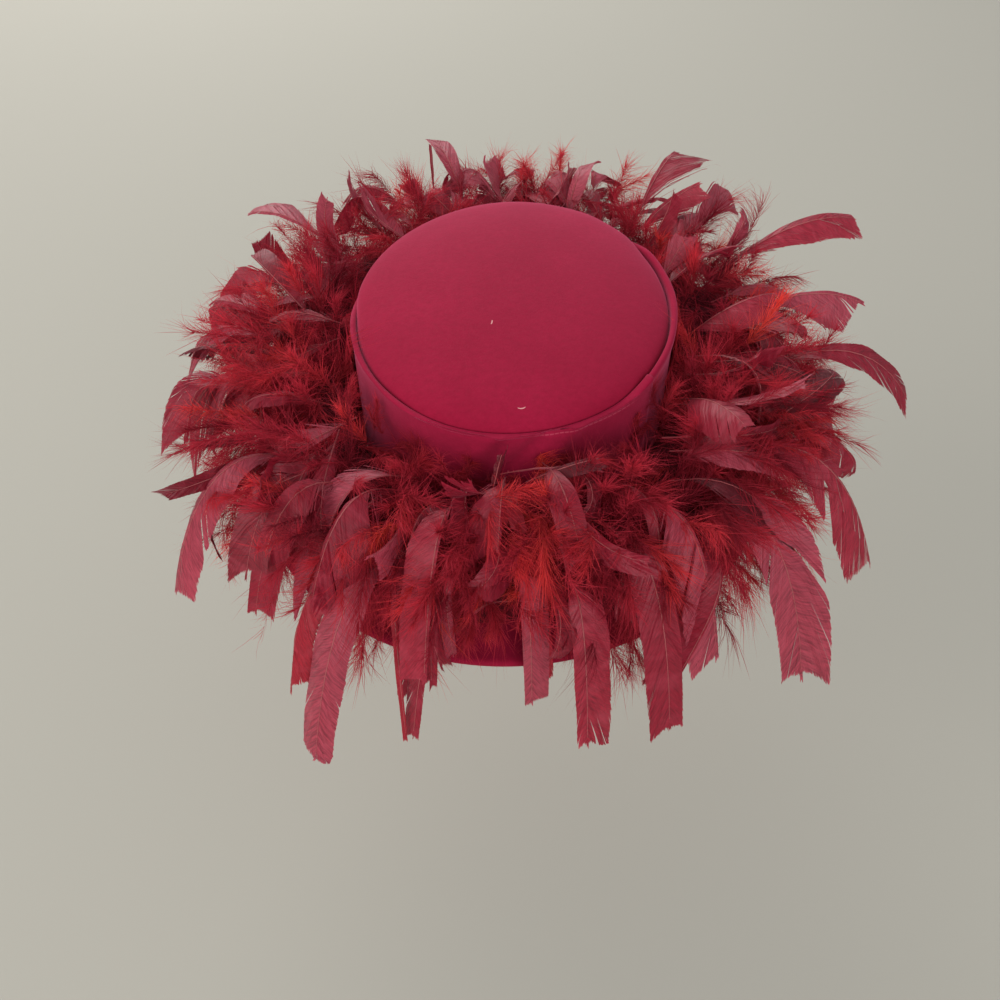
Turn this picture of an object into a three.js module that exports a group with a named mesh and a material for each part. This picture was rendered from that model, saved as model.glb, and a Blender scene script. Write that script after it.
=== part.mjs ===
// A pillbox-crowned hat whose brim carries a thick ring of feathers.
// Millimetres, +Z up. The wearer faces -Y, and +X is on the right of someone facing the hat's front.
// The origin is the middle of the head opening, at the crown band's lower edge.
import * as THREE from 'three';
import { mergeVertices } from 'three/addons/utils/BufferGeometryUtils.js';

// Crown: an oval, longer from front to back, turned a little on its base.
const CROWN_HALF_WIDTH = 86;
const CROWN_HALF_LENGTH = 99.5;
const CROWN_TURN = THREE.MathUtils.degToRad(-5);
const OVAL_WOBBLE = 0.008;
const OVAL_WOBBLE_PHASE = 0.6;
const BAND_HEIGHT = 92;
const BAND_WALL = 2.5;
const BAND_LIP_OUT = 0.9;
const BAND_LIP_HEIGHT = 2.4;
const TIP_WALL = 2.5;
const TIP_EDGE_DROP = 3;
const TIP_RISE = 14;
const TIP_SHOULDER = 0.45;

// Brim: a nearly flat cloth-covered ring that falls a little towards a rounded edge.
const BRIM_WIDTH = 66;
const BRIM_THICKNESS = 3;
const BRIM_EDGE_THICKNESS = 4.6;
const BRIM_FALL = 6;
const BRIM_WAVE = 1.2;

const GAP = 0.4;
const DOWN_CLEARANCE = 1.1;
const FEATHER_THICKNESS = 1;
const FEATHER_CAMBER = 0.13;
const FEATHER_CLEARANCE = 2.4;

const TIP_SEGMENTS = 60;
const BAND_SEGMENTS = 84;
const BRIM_SEGMENTS = 60;
const DOWN_SEGMENTS = 60;

// Slanting pulls in the band's cloth: azimuth at mid height, lean over the full height, spread
// round the band (all in degrees), and height of the ridge (negative for a hollow) in millimetres.
const BAND_PULLS = [
  { at: -112, lean: 26, spread: 5, ridge: 0.8 },
  { at: -100, lean: 30, spread: 5, ridge: -0.7 },
  { at: -84, lean: 24, spread: 6, ridge: 0.7 },
  { at: -66, lean: -12, spread: 5, ridge: -0.6 },
  { at: -150, lean: 14, spread: 8, ridge: -0.6 },
  { at: 8, lean: -10, spread: 9, ridge: 0.5 },
  { at: 96, lean: 12, spread: 10, ridge: -0.5 },
];
// The band's cloth ends in a lap that thickens over this arc (degrees) and stops at a small step.
const LAP = { from: -62, to: -30, thickness: 1.1 };

// Ring of down, a row for each direction round the crown: how far it spreads from the band,
// and how high it stands.
const DOWN_SECTIONS = [
  { at: 0, spread: 76, height: 72 },
  { at: 45, spread: 74, height: 72 },
  { at: 90, spread: 70, height: 72 },
  { at: 135, spread: 72, height: 72 },
  { at: 180, spread: 68, height: 72 },
  { at: 225, spread: 64, height: 75 },
  { at: 270, spread: 55, height: 75 },
  { at: 315, spread: 68, height: 75 },
];
const DOWN_LUMPS = [
  { count: 7, phase: 0.4, size: 0.035 },
  { count: 12, phase: 2.1, size: 0.03 },
];
// The down's section, from the foot beside the band, over the top and back along the brim:
// out is a share of the spread, up a share of the height.
const DOWN_PROFILE = [
  { out: 0, up: 0 },
  { out: 0.26, up: 0 },
  { out: 0.5, up: 0 },
  { out: 0.7, up: 0 },
  { out: 0.86, up: 0 },
  { out: 0.98, up: 0.22 },
  { out: 1, up: 0.45 },
  { out: 0.9, up: 0.68 },
  { out: 0.7, up: 0.86 },
  { out: 0.42, up: 0.97 },
  { out: 0.18, up: 1 },
  { out: 0, up: 0.94 },
];

// The large flat feathers. root is the azimuth where the quill leaves the down and out its place
// there as a share of the down's spread; tip, reach and height give the far end as azimuth,
// distance from the middle and height; bow lifts the middle; roll turns the blade about its quill.
const FEATHERS = [
  { root: -2, out: 0.8, tip: -2, reach: 228, height: 30, width: 15, bow: 26, roll: -8 },
  { root: 12, out: 0.75, tip: 10, reach: 207, height: 64, width: 17, bow: 16, roll: 10 },
  { root: 26, out: 0.7, tip: 24, reach: 226, height: 84, width: 15, bow: 14, roll: -12 },
  { root: 40, out: 0.72, tip: 42, reach: 197, height: 62, width: 18, bow: 22, roll: 14 },
  { root: 54, out: 0.6, tip: 57, reach: 200, height: 84, width: 19, bow: 10, roll: -16 },
  { root: 68, out: 0.7, tip: 72, reach: 182, height: 60, width: 18, bow: 22, roll: 8 },
  { root: 86, out: 0.68, tip: 88, reach: 180, height: 62, width: 18, bow: 18, roll: -6 },
  { root: 104, out: 0.6, tip: 105, reach: 198, height: 80, width: 12, bow: 8, roll: 18 },
  { root: 120, out: 0.7, tip: 127, reach: 182, height: 60, width: 18, bow: 24, roll: -10 },
  { root: 143, out: 0.68, tip: 146, reach: 196, height: 76, width: 16, bow: 14, roll: 20 },
  { root: 160, out: 0.75, tip: 163, reach: 184, height: 34, width: 18, bow: 22, roll: -8 },
  { root: 178, out: 0.72, tip: 176, reach: 186, height: 44, width: 16, bow: 18, roll: 12 },
  { root: -168, out: 0.75, tip: -171, reach: 190, height: 14, width: 18, bow: 24, roll: -12 },
  { root: -146, out: 0.72, tip: -147, reach: 215, height: -10, width: 16, bow: 30, roll: 10 },
  { root: -130, out: 0.66, tip: -133, reach: 192, height: 6, width: 18, bow: 26, roll: -10 },
  { root: -121, out: 0.5, tip: -121, reach: 186, height: 38, width: 18, bow: 30, roll: 8 },
  { root: -115, out: 0.92, tip: -117, reach: 222, height: -45, width: 21, bow: 26, roll: 6 },
  { root: -104, out: 0.5, tip: -103, reach: 190, height: 14, width: 14, bow: 30, roll: -6 },
  { root: -101, out: 0.96, tip: -105, reach: 196, height: -34, width: 11, bow: 18, roll: 12 },
  { root: -92, out: 0.2, tip: -93, reach: 150, height: 66, width: 14, bow: 18, roll: -10 },
  { root: -88, out: 0.9, tip: -87, reach: 178, height: -20, width: 13, bow: 20, roll: 8 },
  { root: -79, out: 0.95, tip: -79, reach: 196, height: -36, width: 19, bow: 22, roll: -8 },
  { root: -80, out: 0.14, tip: -79, reach: 158, height: 68, width: 14, bow: 18, roll: 8 },
  { root: -68, out: 0.8, tip: -67, reach: 202, height: -30, width: 19, bow: 30, roll: 6 },
  { root: -58, out: 0.6, tip: -59, reach: 194, height: 4, width: 17, bow: 30, roll: -8 },
  { root: -47, out: 0.8, tip: -47, reach: 219, height: -25, width: 30, bow: 34, roll: 8 },
  { root: -34, out: 0.7, tip: -30, reach: 218, height: 6, width: 15, bow: 30, roll: -10 },
  { root: -18, out: 0.74, tip: -17, reach: 186, height: 22, width: 17, bow: 22, roll: 10 },
];

const MATERIALS = {
  crownCloth: { color: '#a82749', roughness: 0.85, metalness: 0 },
  bandCloth: { color: '#a52445', roughness: 0.85, metalness: 0 },
  brimCloth: { color: '#98203f', roughness: 0.85, metalness: 0 },
  down: { color: '#7d1420', roughness: 0.95, metalness: 0 },
  blade: { color: '#943349', roughness: 0.6, metalness: 0 },
};

function smoothstep(value, from, to) {
  const share = THREE.MathUtils.clamp((value - from) / (to - from), 0, 1);
  return share * share * (3 - 2 * share);
}

function degreesBetween(azimuth, other) {
  return THREE.MathUtils.euclideanModulo(azimuth - other + 180, 360) - 180;
}

// Maps a point of a round nominal form onto the hat's oval plan.
// nominal is the distance from the axis on a form whose crown is round, azimuth is in degrees.
function onOval(nominal, azimuth, height) {
  const angle = THREE.MathUtils.degToRad(azimuth) - CROWN_TURN;
  const wobble = 1 + OVAL_WOBBLE * Math.cos(3 * angle + OVAL_WOBBLE_PHASE);
  const longer = (CROWN_HALF_LENGTH - CROWN_HALF_WIDTH) * Math.min(1, nominal / CROWN_HALF_WIDTH);
  const x = nominal * wobble * Math.cos(angle);
  const y = (nominal + longer) * wobble * Math.sin(angle);
  const point = new THREE.Vector3(x, y, height);
  return point.applyAxisAngle(new THREE.Vector3(0, 0, 1), CROWN_TURN);
}

// Leaves only shared positions, so that the surface is one closed skin.
function closeSkin(geometry) {
  geometry.deleteAttribute('normal');
  geometry.deleteAttribute('uv');
  const skin = mergeVertices(geometry, 1e-4);
  skin.computeVertexNormals();
  return skin;
}

// Turns a profile of [distance from the axis, height] round the hat, with shape(point) to bend it.
function ovalRing(profile, segments, shape) {
  const points = profile.map(([out, up]) => new THREE.Vector2(out, up));
  const skin = closeSkin(new THREE.LatheGeometry(points, segments).rotateX(Math.PI / 2));
  const position = skin.getAttribute('position');
  for (let i = 0; i < position.count; i += 1) {
    const x = position.getX(i);
    const y = position.getY(i);
    const azimuth = THREE.MathUtils.radToDeg(Math.atan2(y, x));
    const bent = shape({ out: Math.hypot(x, y), azimuth, height: position.getZ(i) });
    const moved = onOval(bent.out, bent.azimuth, bent.height);
    position.setXYZ(i, moved.x, moved.y, moved.z);
  }
  skin.computeVertexNormals();
  return skin;
}

function clothMesh(name, geometry, look) {
  const mesh = new THREE.Mesh(geometry, new THREE.MeshStandardMaterial(look));
  mesh.name = name;
  return mesh;
}

// Height of the tip's upper face above its edge, at a share of the way out from the middle.
function tipRise(share) {
  return TIP_RISE * Math.pow(Math.max(0, 1 - share * share), TIP_SHOULDER);
}

function makeTip() {
  const edgeRadius = CROWN_HALF_WIDTH - BAND_WALL - GAP;
  const edgeHeight = BAND_HEIGHT - TIP_EDGE_DROP;
  const shares = [0, 0.35, 0.62, 0.8, 0.9, 0.96, 0.99, 1];
  const top = shares.map((share) => [edgeRadius * share, edgeHeight + tipRise(share)]);
  const under = top.map(([out, up]) => [Math.min(out, edgeRadius - TIP_WALL), up - TIP_WALL]);
  under[under.length - 1] = [edgeRadius, edgeHeight - TIP_WALL];
  under[under.length - 2] = [edgeRadius - TIP_WALL, edgeHeight - TIP_WALL];
  const profile = under.concat(top.reverse());
  return ovalRing(profile, TIP_SEGMENTS, (point) => point);
}

function bandPull(azimuth, height) {
  const along = height / BAND_HEIGHT - 0.5;
  const fade = smoothstep(height, 8, 30);
  let push = 0;
  for (const pull of BAND_PULLS) {
    const away = degreesBetween(azimuth, pull.at + pull.lean * along) / pull.spread;
    push += pull.ridge * Math.exp(-away * away);
  }
  return push * fade;
}

function bandLap(azimuth, height) {
  if (degreesBetween(azimuth, LAP.to) > 0) {
    return 0;
  }
  const rise = smoothstep(degreesBetween(azimuth, LAP.from), 0, LAP.to - LAP.from);
  return LAP.thickness * rise * smoothstep(height, 8, 30);
}

function makeBand() {
  const inner = CROWN_HALF_WIDTH - BAND_WALL;
  const outer = CROWN_HALF_WIDTH;
  const lip = outer + BAND_LIP_OUT;
  const top = BAND_HEIGHT + BAND_LIP_HEIGHT;
  const profile = [
    [inner, 0],
    [outer, 0],
    [outer, 20],
    [outer, 42],
    [outer, 62],
    [outer, 80],
    [outer, BAND_HEIGHT - 4],
    [lip, BAND_HEIGHT - 1],
    [lip, top - 1],
    [lip - 1.1, top],
    [inner + 0.7, top],
    [inner, top - 1],
    [inner, 0],
  ];
  return ovalRing(profile, BAND_SEGMENTS, (point) => {
    const outside = point.out > outer - 0.5;
    const push = outside ? bandPull(point.azimuth, point.height) + bandLap(point.azimuth, point.height) : 0;
    return { ...point, out: point.out + push };
  });
}

// Height of the brim's upper face at a distance out from the band.
function brimTop(out, azimuth) {
  const share = Math.max(0, out) / BRIM_WIDTH;
  const wave = BRIM_WAVE * Math.cos(THREE.MathUtils.degToRad(2 * azimuth)) * share;
  return BRIM_THICKNESS - BRIM_FALL * share * share + wave;
}

function makeBrim() {
  const edgeHalf = BRIM_EDGE_THICKNESS / 2;
  const edgeMiddle = BRIM_WIDTH - edgeHalf;
  const top = [0, 16, 32, 48, 58].map((out) => [out, 0]);
  const under = [58, 48, 32, 16, 0].map((out) => [out, -BRIM_THICKNESS]);
  const roll = [60, 20, -20, -60].map((degrees) => {
    const angle = THREE.MathUtils.degToRad(degrees);
    const out = edgeMiddle + edgeHalf * Math.cos(angle);
    return [out, -BRIM_THICKNESS / 2 + edgeHalf * Math.sin(angle)];
  });
  const start = CROWN_HALF_WIDTH + GAP;
  const loop = top.concat(roll, under, [top[0]]);
  const profile = loop.reverse().map(([out, up]) => [start + out, up]);
  return ovalRing(profile, BRIM_SEGMENTS, (point) => {
    const height = point.height + brimTop(point.out - start, point.azimuth);
    return { ...point, height };
  });
}

// Smoothly blends one column of the down's sections round the crown.
function downColumn(azimuth, column) {
  const step = 360 / DOWN_SECTIONS.length;
  const place = THREE.MathUtils.euclideanModulo(azimuth, 360) / step;
  const index = Math.floor(place) % DOWN_SECTIONS.length;
  const next = (index + 1) % DOWN_SECTIONS.length;
  const share = smoothstep(place - Math.floor(place), 0, 1);
  return THREE.MathUtils.lerp(DOWN_SECTIONS[index][column], DOWN_SECTIONS[next][column], share);
}

function downLump(azimuth) {
  const angle = THREE.MathUtils.degToRad(azimuth);
  return DOWN_LUMPS.reduce((sum, lump) => sum + lump.size * Math.sin(lump.count * angle + lump.phase), 1);
}

function downSpread(azimuth) {
  return downColumn(azimuth, 'spread') * downLump(azimuth);
}

function downHeight(azimuth) {
  return downColumn(azimuth, 'height') * downLump(azimuth + 40);
}

const DOWN_START = CROWN_HALF_WIDTH + BAND_LIP_OUT + LAP.thickness + GAP;

function makeDown() {
  const nominalSpread = 60;
  const nominalHeight = 60;
  const loop = DOWN_PROFILE.concat([DOWN_PROFILE[0]]);
  const profile = loop.map((row) => [DOWN_START + row.out * nominalSpread, row.up * nominalHeight]);
  return ovalRing(profile, DOWN_SEGMENTS, (point) => {
    const out = DOWN_START + (point.out - DOWN_START) / nominalSpread * downSpread(point.azimuth);
    const up = point.height / nominalHeight;
    const floor = brimTop(out - CROWN_HALF_WIDTH - GAP, point.azimuth) + DOWN_CLEARANCE;
    const height = floor + up * (downHeight(point.azimuth) - BRIM_THICKNESS);
    return { out, azimuth: point.azimuth, height };
  });
}

// A point on the down's upper face, at a share of its spread.
function onDown(azimuth, share) {
  const upper = DOWN_PROFILE.filter((row) => row.up >= 0.45);
  let low = upper[0];
  let high = upper[1];
  for (let i = 0; i + 1 < upper.length; i += 1) {
    if (share <= upper[i].out && share >= upper[i + 1].out) {
      low = upper[i];
      high = upper[i + 1];
    }
  }
  const blend = (share - low.out) / (high.out - low.out);
  const up = THREE.MathUtils.lerp(low.up, high.up, blend);
  const height = BRIM_THICKNESS + up * (downHeight(azimuth) - BRIM_THICKNESS);
  return onOval(DOWN_START + share * downSpread(azimuth), azimuth, height + FEATHER_CLEARANCE);
}

function featherSpine(row) {
  const root = onDown(row.root, row.out);
  const angle = THREE.MathUtils.degToRad(row.tip);
  const tip = new THREE.Vector3(row.reach * Math.cos(angle), row.reach * Math.sin(angle), row.height);
  const middle = root.clone().lerp(tip, 0.55);
  middle.z = Math.max(root.z, tip.z) + row.bow;
  return new THREE.QuadraticBezierCurve3(root, middle, tip);
}

// Width of a blade along its length, as a share of its widest: narrow quill, broad vane, cut end.
function bladeWidth(share) {
  const vane = smoothstep(share, 0, 0.34);
  const end = 1 - 0.28 * smoothstep(share, 0.72, 1);
  return (0.12 + 0.88 * vane) * end;
}

function makeFeather(row) {
  const spine = featherSpine(row);
  const up = new THREE.Vector3(0, 0, 1);
  const blade = closeSkin(new THREE.BoxGeometry(1, 1, 1, 2, 8, 1));
  const position = blade.getAttribute('position');
  for (let i = 0; i < position.count; i += 1) {
    const across = position.getX(i);
    const share = position.getY(i) + 0.5;
    const layer = position.getZ(i);
    const along = spine.getTangent(share);
    const side = along.clone().cross(up).normalize();
    side.applyAxisAngle(along, THREE.MathUtils.degToRad(row.roll));
    const normal = side.clone().cross(along).normalize();
    const wide = row.width * bladeWidth(share);
    const sag = FEATHER_CAMBER * wide * 4 * across * across;
    const point = spine.getPoint(share);
    point.addScaledVector(side, across * wide);
    point.addScaledVector(normal, layer * FEATHER_THICKNESS - sag);
    position.setXYZ(i, point.x, point.y, point.z);
  }
  blade.computeVertexNormals();
  return blade;
}

const hat = new THREE.Group();

const crown = new THREE.Group();
crown.add(clothMesh('crown_tip', makeTip(), MATERIALS.crownCloth));
crown.add(clothMesh('crown_band', makeBand(), MATERIALS.bandCloth));
hat.add(crown);

hat.add(clothMesh('brim', makeBrim(), MATERIALS.brimCloth));

const plumage = new THREE.Group();
plumage.add(clothMesh('feather_down', makeDown(), MATERIALS.down));
FEATHERS.forEach((row, index) => {
  const name = `feather_${String(index + 1).padStart(2, '0')}`;
  plumage.add(clothMesh(name, makeFeather(row), MATERIALS.blade));
});
hat.add(plumage);

export default hat;
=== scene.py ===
# %% [markdown]
# # A feathered pillbox hat
# The hat is a low oval crown of felted cloth on a narrow brim. The brim carries a thick ring of dyed
# feathers: fluffy down near the quills, and flat curling blades that stick out of it. The CAD frame
# holds the true sizes. Here every piece of it gets the surface that the real one has.

# %% Load the frame
import math

import bpy
import numpy as np
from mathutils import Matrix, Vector


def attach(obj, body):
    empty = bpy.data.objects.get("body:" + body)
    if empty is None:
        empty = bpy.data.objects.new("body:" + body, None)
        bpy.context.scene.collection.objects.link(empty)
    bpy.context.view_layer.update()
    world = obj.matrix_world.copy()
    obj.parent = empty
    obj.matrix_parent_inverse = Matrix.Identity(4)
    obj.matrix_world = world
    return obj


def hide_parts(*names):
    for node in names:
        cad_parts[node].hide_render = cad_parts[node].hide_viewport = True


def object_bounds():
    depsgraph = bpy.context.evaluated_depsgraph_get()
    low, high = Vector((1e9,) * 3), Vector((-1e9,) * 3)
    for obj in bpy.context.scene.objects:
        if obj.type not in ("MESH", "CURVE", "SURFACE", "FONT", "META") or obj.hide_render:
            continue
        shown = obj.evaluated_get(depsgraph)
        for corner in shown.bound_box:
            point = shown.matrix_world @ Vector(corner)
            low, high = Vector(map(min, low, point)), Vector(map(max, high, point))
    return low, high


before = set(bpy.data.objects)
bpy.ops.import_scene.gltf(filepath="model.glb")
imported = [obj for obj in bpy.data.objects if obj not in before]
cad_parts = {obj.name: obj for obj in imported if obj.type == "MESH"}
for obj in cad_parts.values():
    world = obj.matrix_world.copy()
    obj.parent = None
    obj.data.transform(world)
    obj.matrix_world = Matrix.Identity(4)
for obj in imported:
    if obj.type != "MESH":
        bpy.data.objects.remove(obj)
cad_low, cad_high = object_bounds()
cad_low, cad_high = list(cad_low), list(cad_high)
MM = 0.001
bpy.ops.object.select_all(action="DESELECT")
print("the frame has", len(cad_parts), "nodes")
print("frame box in mm:", [round(v / MM) for v in cad_low], [round(v / MM) for v in cad_high])

# %% [markdown]
# ## Camera
# A hat like this is looked at from above and a little in front, at arm's length, so the perspective
# is strong: the near feathers look larger than the far ones. The camera stands about half a metre
# from the crown and looks down at 49 degrees.

# %% Camera
CAMERA_PLACE = Vector((-6.8, -430.5, 427.0)) * MM
CAMERA_DOWN = math.radians(49)
CAMERA_LENS = 36
SENSOR_WIDTH = 36
camera_data = bpy.data.cameras.new("camera")
camera_data.sensor_width = SENSOR_WIDTH
camera_data.lens = CAMERA_LENS
camera = bpy.data.objects.new("camera", camera_data)
camera.location = CAMERA_PLACE
camera.rotation_euler = (math.pi / 2 - CAMERA_DOWN, 0, 0)
camera_data.clip_start = 0.01
bpy.context.scene.collection.objects.link(camera)
bpy.context.scene.camera = camera
bpy.context.scene.view_settings.view_transform = "Standard"

# %% [markdown]
# ## Floor and light
# The hat is held up as a head would hold it, so the floor lies below its lowest feather. A pale matt
# floor and three large soft lamps give open shade: a broad low one from behind, which brings up the
# pale bloom of the felt at its far edge, one from the left, and one from the front for the band.

# %% Floor and light
FLOOR_DROP = 260 * MM
FLOOR_SIZE = 160
FLOOR_COLOUR = (0.37, 0.35, 0.30, 1)
SKY_COLOUR = (0.86, 0.9, 0.94, 1)
SKY_STRENGTH = 0.62
LAMPS = (
    {"name": "lamp_back", "place": (-0.8, 2.3, 1.35), "size": 2.2, "power": 55, "colour": (1.0, 0.99, 0.97)},
    {"name": "lamp_left", "place": (-2.3, -0.7, 1.2), "size": 2.0, "power": 32, "colour": (1.0, 0.98, 0.95)},
    {"name": "lamp_front", "place": (0.4, -2.4, 1.1), "size": 2.2, "power": 42, "colour": (0.98, 0.99, 1.0)},
)


def add_floor():
    bpy.ops.mesh.primitive_plane_add(size=FLOOR_SIZE, location=(0, 0, -FLOOR_DROP))
    floor = bpy.context.active_object
    floor.name = "floor"
    material = bpy.data.materials.new("floor")
    material.use_nodes = True
    shader = material.node_tree.nodes["Principled BSDF"]
    shader.inputs["Base Color"].default_value = FLOOR_COLOUR
    shader.inputs["Roughness"].default_value = 0.9
    floor.data.materials.append(material)


def add_lamp(name, place, size, power, colour):
    """A large round lamp that faces the middle of the hat."""
    data = bpy.data.lights.new(name, "AREA")
    data.shape = "DISK"
    data.size = size
    data.energy = power
    data.color = colour
    lamp = bpy.data.objects.new(name, data)
    lamp.location = place
    lamp.rotation_euler = (Vector((0, 0, 0)) - Vector(place)).to_track_quat("-Z", "Y").to_euler()
    lamp.visible_camera = False
    bpy.context.scene.collection.objects.link(lamp)


add_floor()
for lamp in LAMPS:
    add_lamp(**lamp)
world = bpy.data.worlds.new("world")
world.use_nodes = True
world.node_tree.nodes["Background"].inputs["Color"].default_value = SKY_COLOUR
world.node_tree.nodes["Background"].inputs["Strength"].default_value = SKY_STRENGTH
bpy.context.scene.world = world
print("the scene has", len(LAMPS), "lamps, and the floor lies", round(FLOOR_DROP / MM), "mm down")

# %% [markdown]
# ## A small helper for materials
# A pattern is worked out by shader nodes. Written as Python expressions they are easier to read, so
# one small class wraps a socket and turns + - * / into Math nodes.

# %% Shader helper


class Sock:
    """A shader socket that can be used in sums and products."""

    def __init__(self, tree, socket):
        self.tree = tree
        self.socket = socket

    def _math(self, operation, a, b):
        node = self.tree.nodes.new("ShaderNodeMath")
        node.operation = operation
        for place, value in enumerate((a, b)):
            if isinstance(value, Sock):
                self.tree.links.new(value.socket, node.inputs[place])
            elif value is not None:
                node.inputs[place].default_value = value
        return Sock(self.tree, node.outputs[0])

    def __add__(self, other):
        return self._math("ADD", self, other)

    def __radd__(self, other):
        return self._math("ADD", other, self)

    def __sub__(self, other):
        return self._math("SUBTRACT", self, other)

    def __rsub__(self, other):
        return self._math("SUBTRACT", other, self)

    def __mul__(self, other):
        return self._math("MULTIPLY", self, other)

    def __rmul__(self, other):
        return self._math("MULTIPLY", other, self)

    def __truediv__(self, other):
        return self._math("DIVIDE", self, other)

    def power(self, exponent):
        return self._math("POWER", self, exponent)

    def whole(self):
        return self._math("FLOOR", self, None)

    def part(self):
        return self._math("FRACT", self, None)

    def distance(self, other):
        return self._math("ABSOLUTE", self - other, None)


class Finish:
    """Builds one material: node() adds any node, and the rest are the few that are used often."""

    def __init__(self, name):
        self.material = bpy.data.materials.new(name)
        self.material.use_nodes = True
        self.tree = self.material.node_tree
        self.shader = self.tree.nodes["Principled BSDF"]

    def node(self, kind, settings=None, sockets=None, output=0):
        """Adds one node. Its settings come first, and a ramp's stops are one of them."""
        node = self.tree.nodes.new(kind)
        for key, value in (settings or {}).items():
            if key == "stops":
                self.set_stops(node.color_ramp, value)
            else:
                setattr(node, key, value)
        for key, value in (sockets or {}).items():
            self.put(node, key, value)
        return Sock(self.tree, node.outputs[output])

    def set_stops(self, ramp, stops):
        while len(ramp.elements) < len(stops):
            ramp.elements.new(1)
        for element, (place, colour) in zip(ramp.elements, stops):
            element.position = place
            element.color = colour

    def put(self, node, key, value):
        if isinstance(value, Sock):
            self.tree.links.new(value.socket, node.inputs[key])
        else:
            node.inputs[key].default_value = value

    def feed(self, **sockets):
        for key, value in sockets.items():
            self.put(self.shader, key.replace("_", " "), value)

    def object_place(self):
        return self.node("ShaderNodeTexCoord", output=3)

    def map_place(self, name):
        return self.node("ShaderNodeUVMap", {"uv_map": name})

    def axes_of(self, place):
        node = self.tree.nodes.new("ShaderNodeSeparateXYZ")
        self.tree.links.new(place.socket, node.inputs[0])
        return [Sock(self.tree, out) for out in node.outputs]

    def scaled(self, place, scale):
        return self.node("ShaderNodeMapping", None, {"Vector": place, "Scale": scale})

    def noise(self, place, scale, detail=3.0, roughness=0.55):
        sockets = {"Vector": place, "Scale": scale, "Detail": detail, "Roughness": roughness}
        return self.node("ShaderNodeTexNoise", {"noise_dimensions": "3D"}, sockets)

    def ramp(self, value, low, high, from_value=0.0, to_value=1.0):
        sockets = {
            "Value": value, "From Min": low, "From Max": high, "To Min": from_value, "To Max": to_value,
        }
        return self.node("ShaderNodeMapRange", {"clamp": True}, sockets)

    def mix(self, share, first, second):
        node = self.tree.nodes.new("ShaderNodeMix")
        node.data_type = "RGBA"
        self.put(node, 0, share)
        self.put(node, 6, first)
        self.put(node, 7, second)
        return Sock(self.tree, node.outputs[2])

    def bump(self, height, strength, distance):
        return self.node(
            "ShaderNodeBump", None, {"Height": height, "Strength": strength, "Distance": distance}
        )

    def let_light_through(self, colour, share):
        """Mixes in a translucent shader, for thin things that glow when lit from behind."""
        through = self.node("ShaderNodeBsdfTranslucent", None, {"Color": colour})
        both = self.tree.nodes.new("ShaderNodeMixShader")
        both.inputs[0].default_value = share
        self.tree.links.new(self.shader.outputs[0], both.inputs[1])
        self.tree.links.new(through.socket, both.inputs[2])
        output = self.tree.nodes["Material Output"]
        self.tree.links.new(both.outputs[0], output.inputs["Surface"])


# %% [markdown]
# ## Felted cloth
# The crown and brim are covered in a matt felted cloth in crimson. Seen closely it has a short nap:
# tiny fibres that scatter light at its edges, which sheen gives. Its dye is a little uneven, and its
# surface has a very fine grain, with a soft cloudiness where the nap is pressed one way or another.

# %% Cloth finishes
CLOTH_SHEEN_TINT = (1.0, 0.22, 0.38, 1)
CLOUD_SCALE = 16.0
NAP_SCALE = 260.0
GRAIN_SCALE = 900.0


def cloth_finish(name, deep, light, sheen):
    finish = Finish(name)
    place = finish.object_place()
    cloud = finish.ramp(finish.noise(place, CLOUD_SCALE, 3.0), 0.35, 0.7)
    grain = finish.noise(place, GRAIN_SCALE, 2.0, 0.6)
    nap = finish.noise(finish.scaled(place, (1.0, 1.4, 1.0)), NAP_SCALE, 4.0, 0.7)
    patches = finish.ramp(nap, 0.35, 0.68)
    base = finish.mix(cloud, deep, light)
    darker = tuple(c * 0.8 for c in deep[:3]) + (1,)
    base = finish.mix(patches * 0.5, base, darker)
    finish.feed(Base_Color=base)
    finish.feed(Roughness=finish.ramp(grain, 0.3, 0.7, 0.82, 0.96))
    height = grain * 0.6 + nap * 0.4
    finish.feed(Normal=finish.bump(height, 0.5, 0.0003))
    finish.shader.inputs["Specular IOR Level"].default_value = 0.12
    finish.shader.inputs["Sheen Weight"].default_value = sheen
    finish.shader.inputs["Sheen Roughness"].default_value = 0.42
    finish.shader.inputs["Sheen Tint"].default_value = CLOTH_SHEEN_TINT
    return finish


tip_finish = cloth_finish("crown_cloth", (0.26, 0.004, 0.026, 1), (0.31, 0.006, 0.034, 1), 0.4)
band_finish = cloth_finish("band_cloth", (0.27, 0.005, 0.030, 1), (0.33, 0.008, 0.040, 1), 0.35)
brim_finish = cloth_finish("brim_cloth", (0.25, 0.004, 0.026, 1), (0.30, 0.006, 0.034, 1), 0.3)
print("cloth finishes:", tip_finish.material.name, band_finish.material.name, brim_finish.material.name)

# %% [markdown]
# ## Lint and stitches
# Felt catches lint, and two short pale fibres lie in the nap of the tip. In front, a faint line of
# stitches holds the band's fold down. Both could be modelled as tiny threads, but they are finer than
# the nap they lie in, so each is a mask worked out from the place, which mixes a paler colour in.

# %% Lint and stitches
LINT = (
    {"x": -10.9, "y": -28.2, "turn": 80, "long": 1.6, "wide": 0.35, "bow": 60.0},
    {"x": 3.6, "y": -84.5, "turn": 8, "long": 2.0, "wide": 0.3, "bow": 160.0},
)
LINT_COLOUR = (0.80, 0.45, 0.42, 1)
LINT_SHARE = 0.6
STITCH_COLOUR = (0.62, 0.12, 0.18, 1)
STITCH_SHARE = 0.35
STITCHES_A_MM = 0.42
SEAM_HEIGHT = 88.6
SEAM_FROM = 8
SEAM_TO = 55
SEAM_FADE = 8


def colour_so_far(finish):
    return Sock(finish.tree, finish.shader.inputs["Base Color"].links[0].from_socket)


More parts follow.
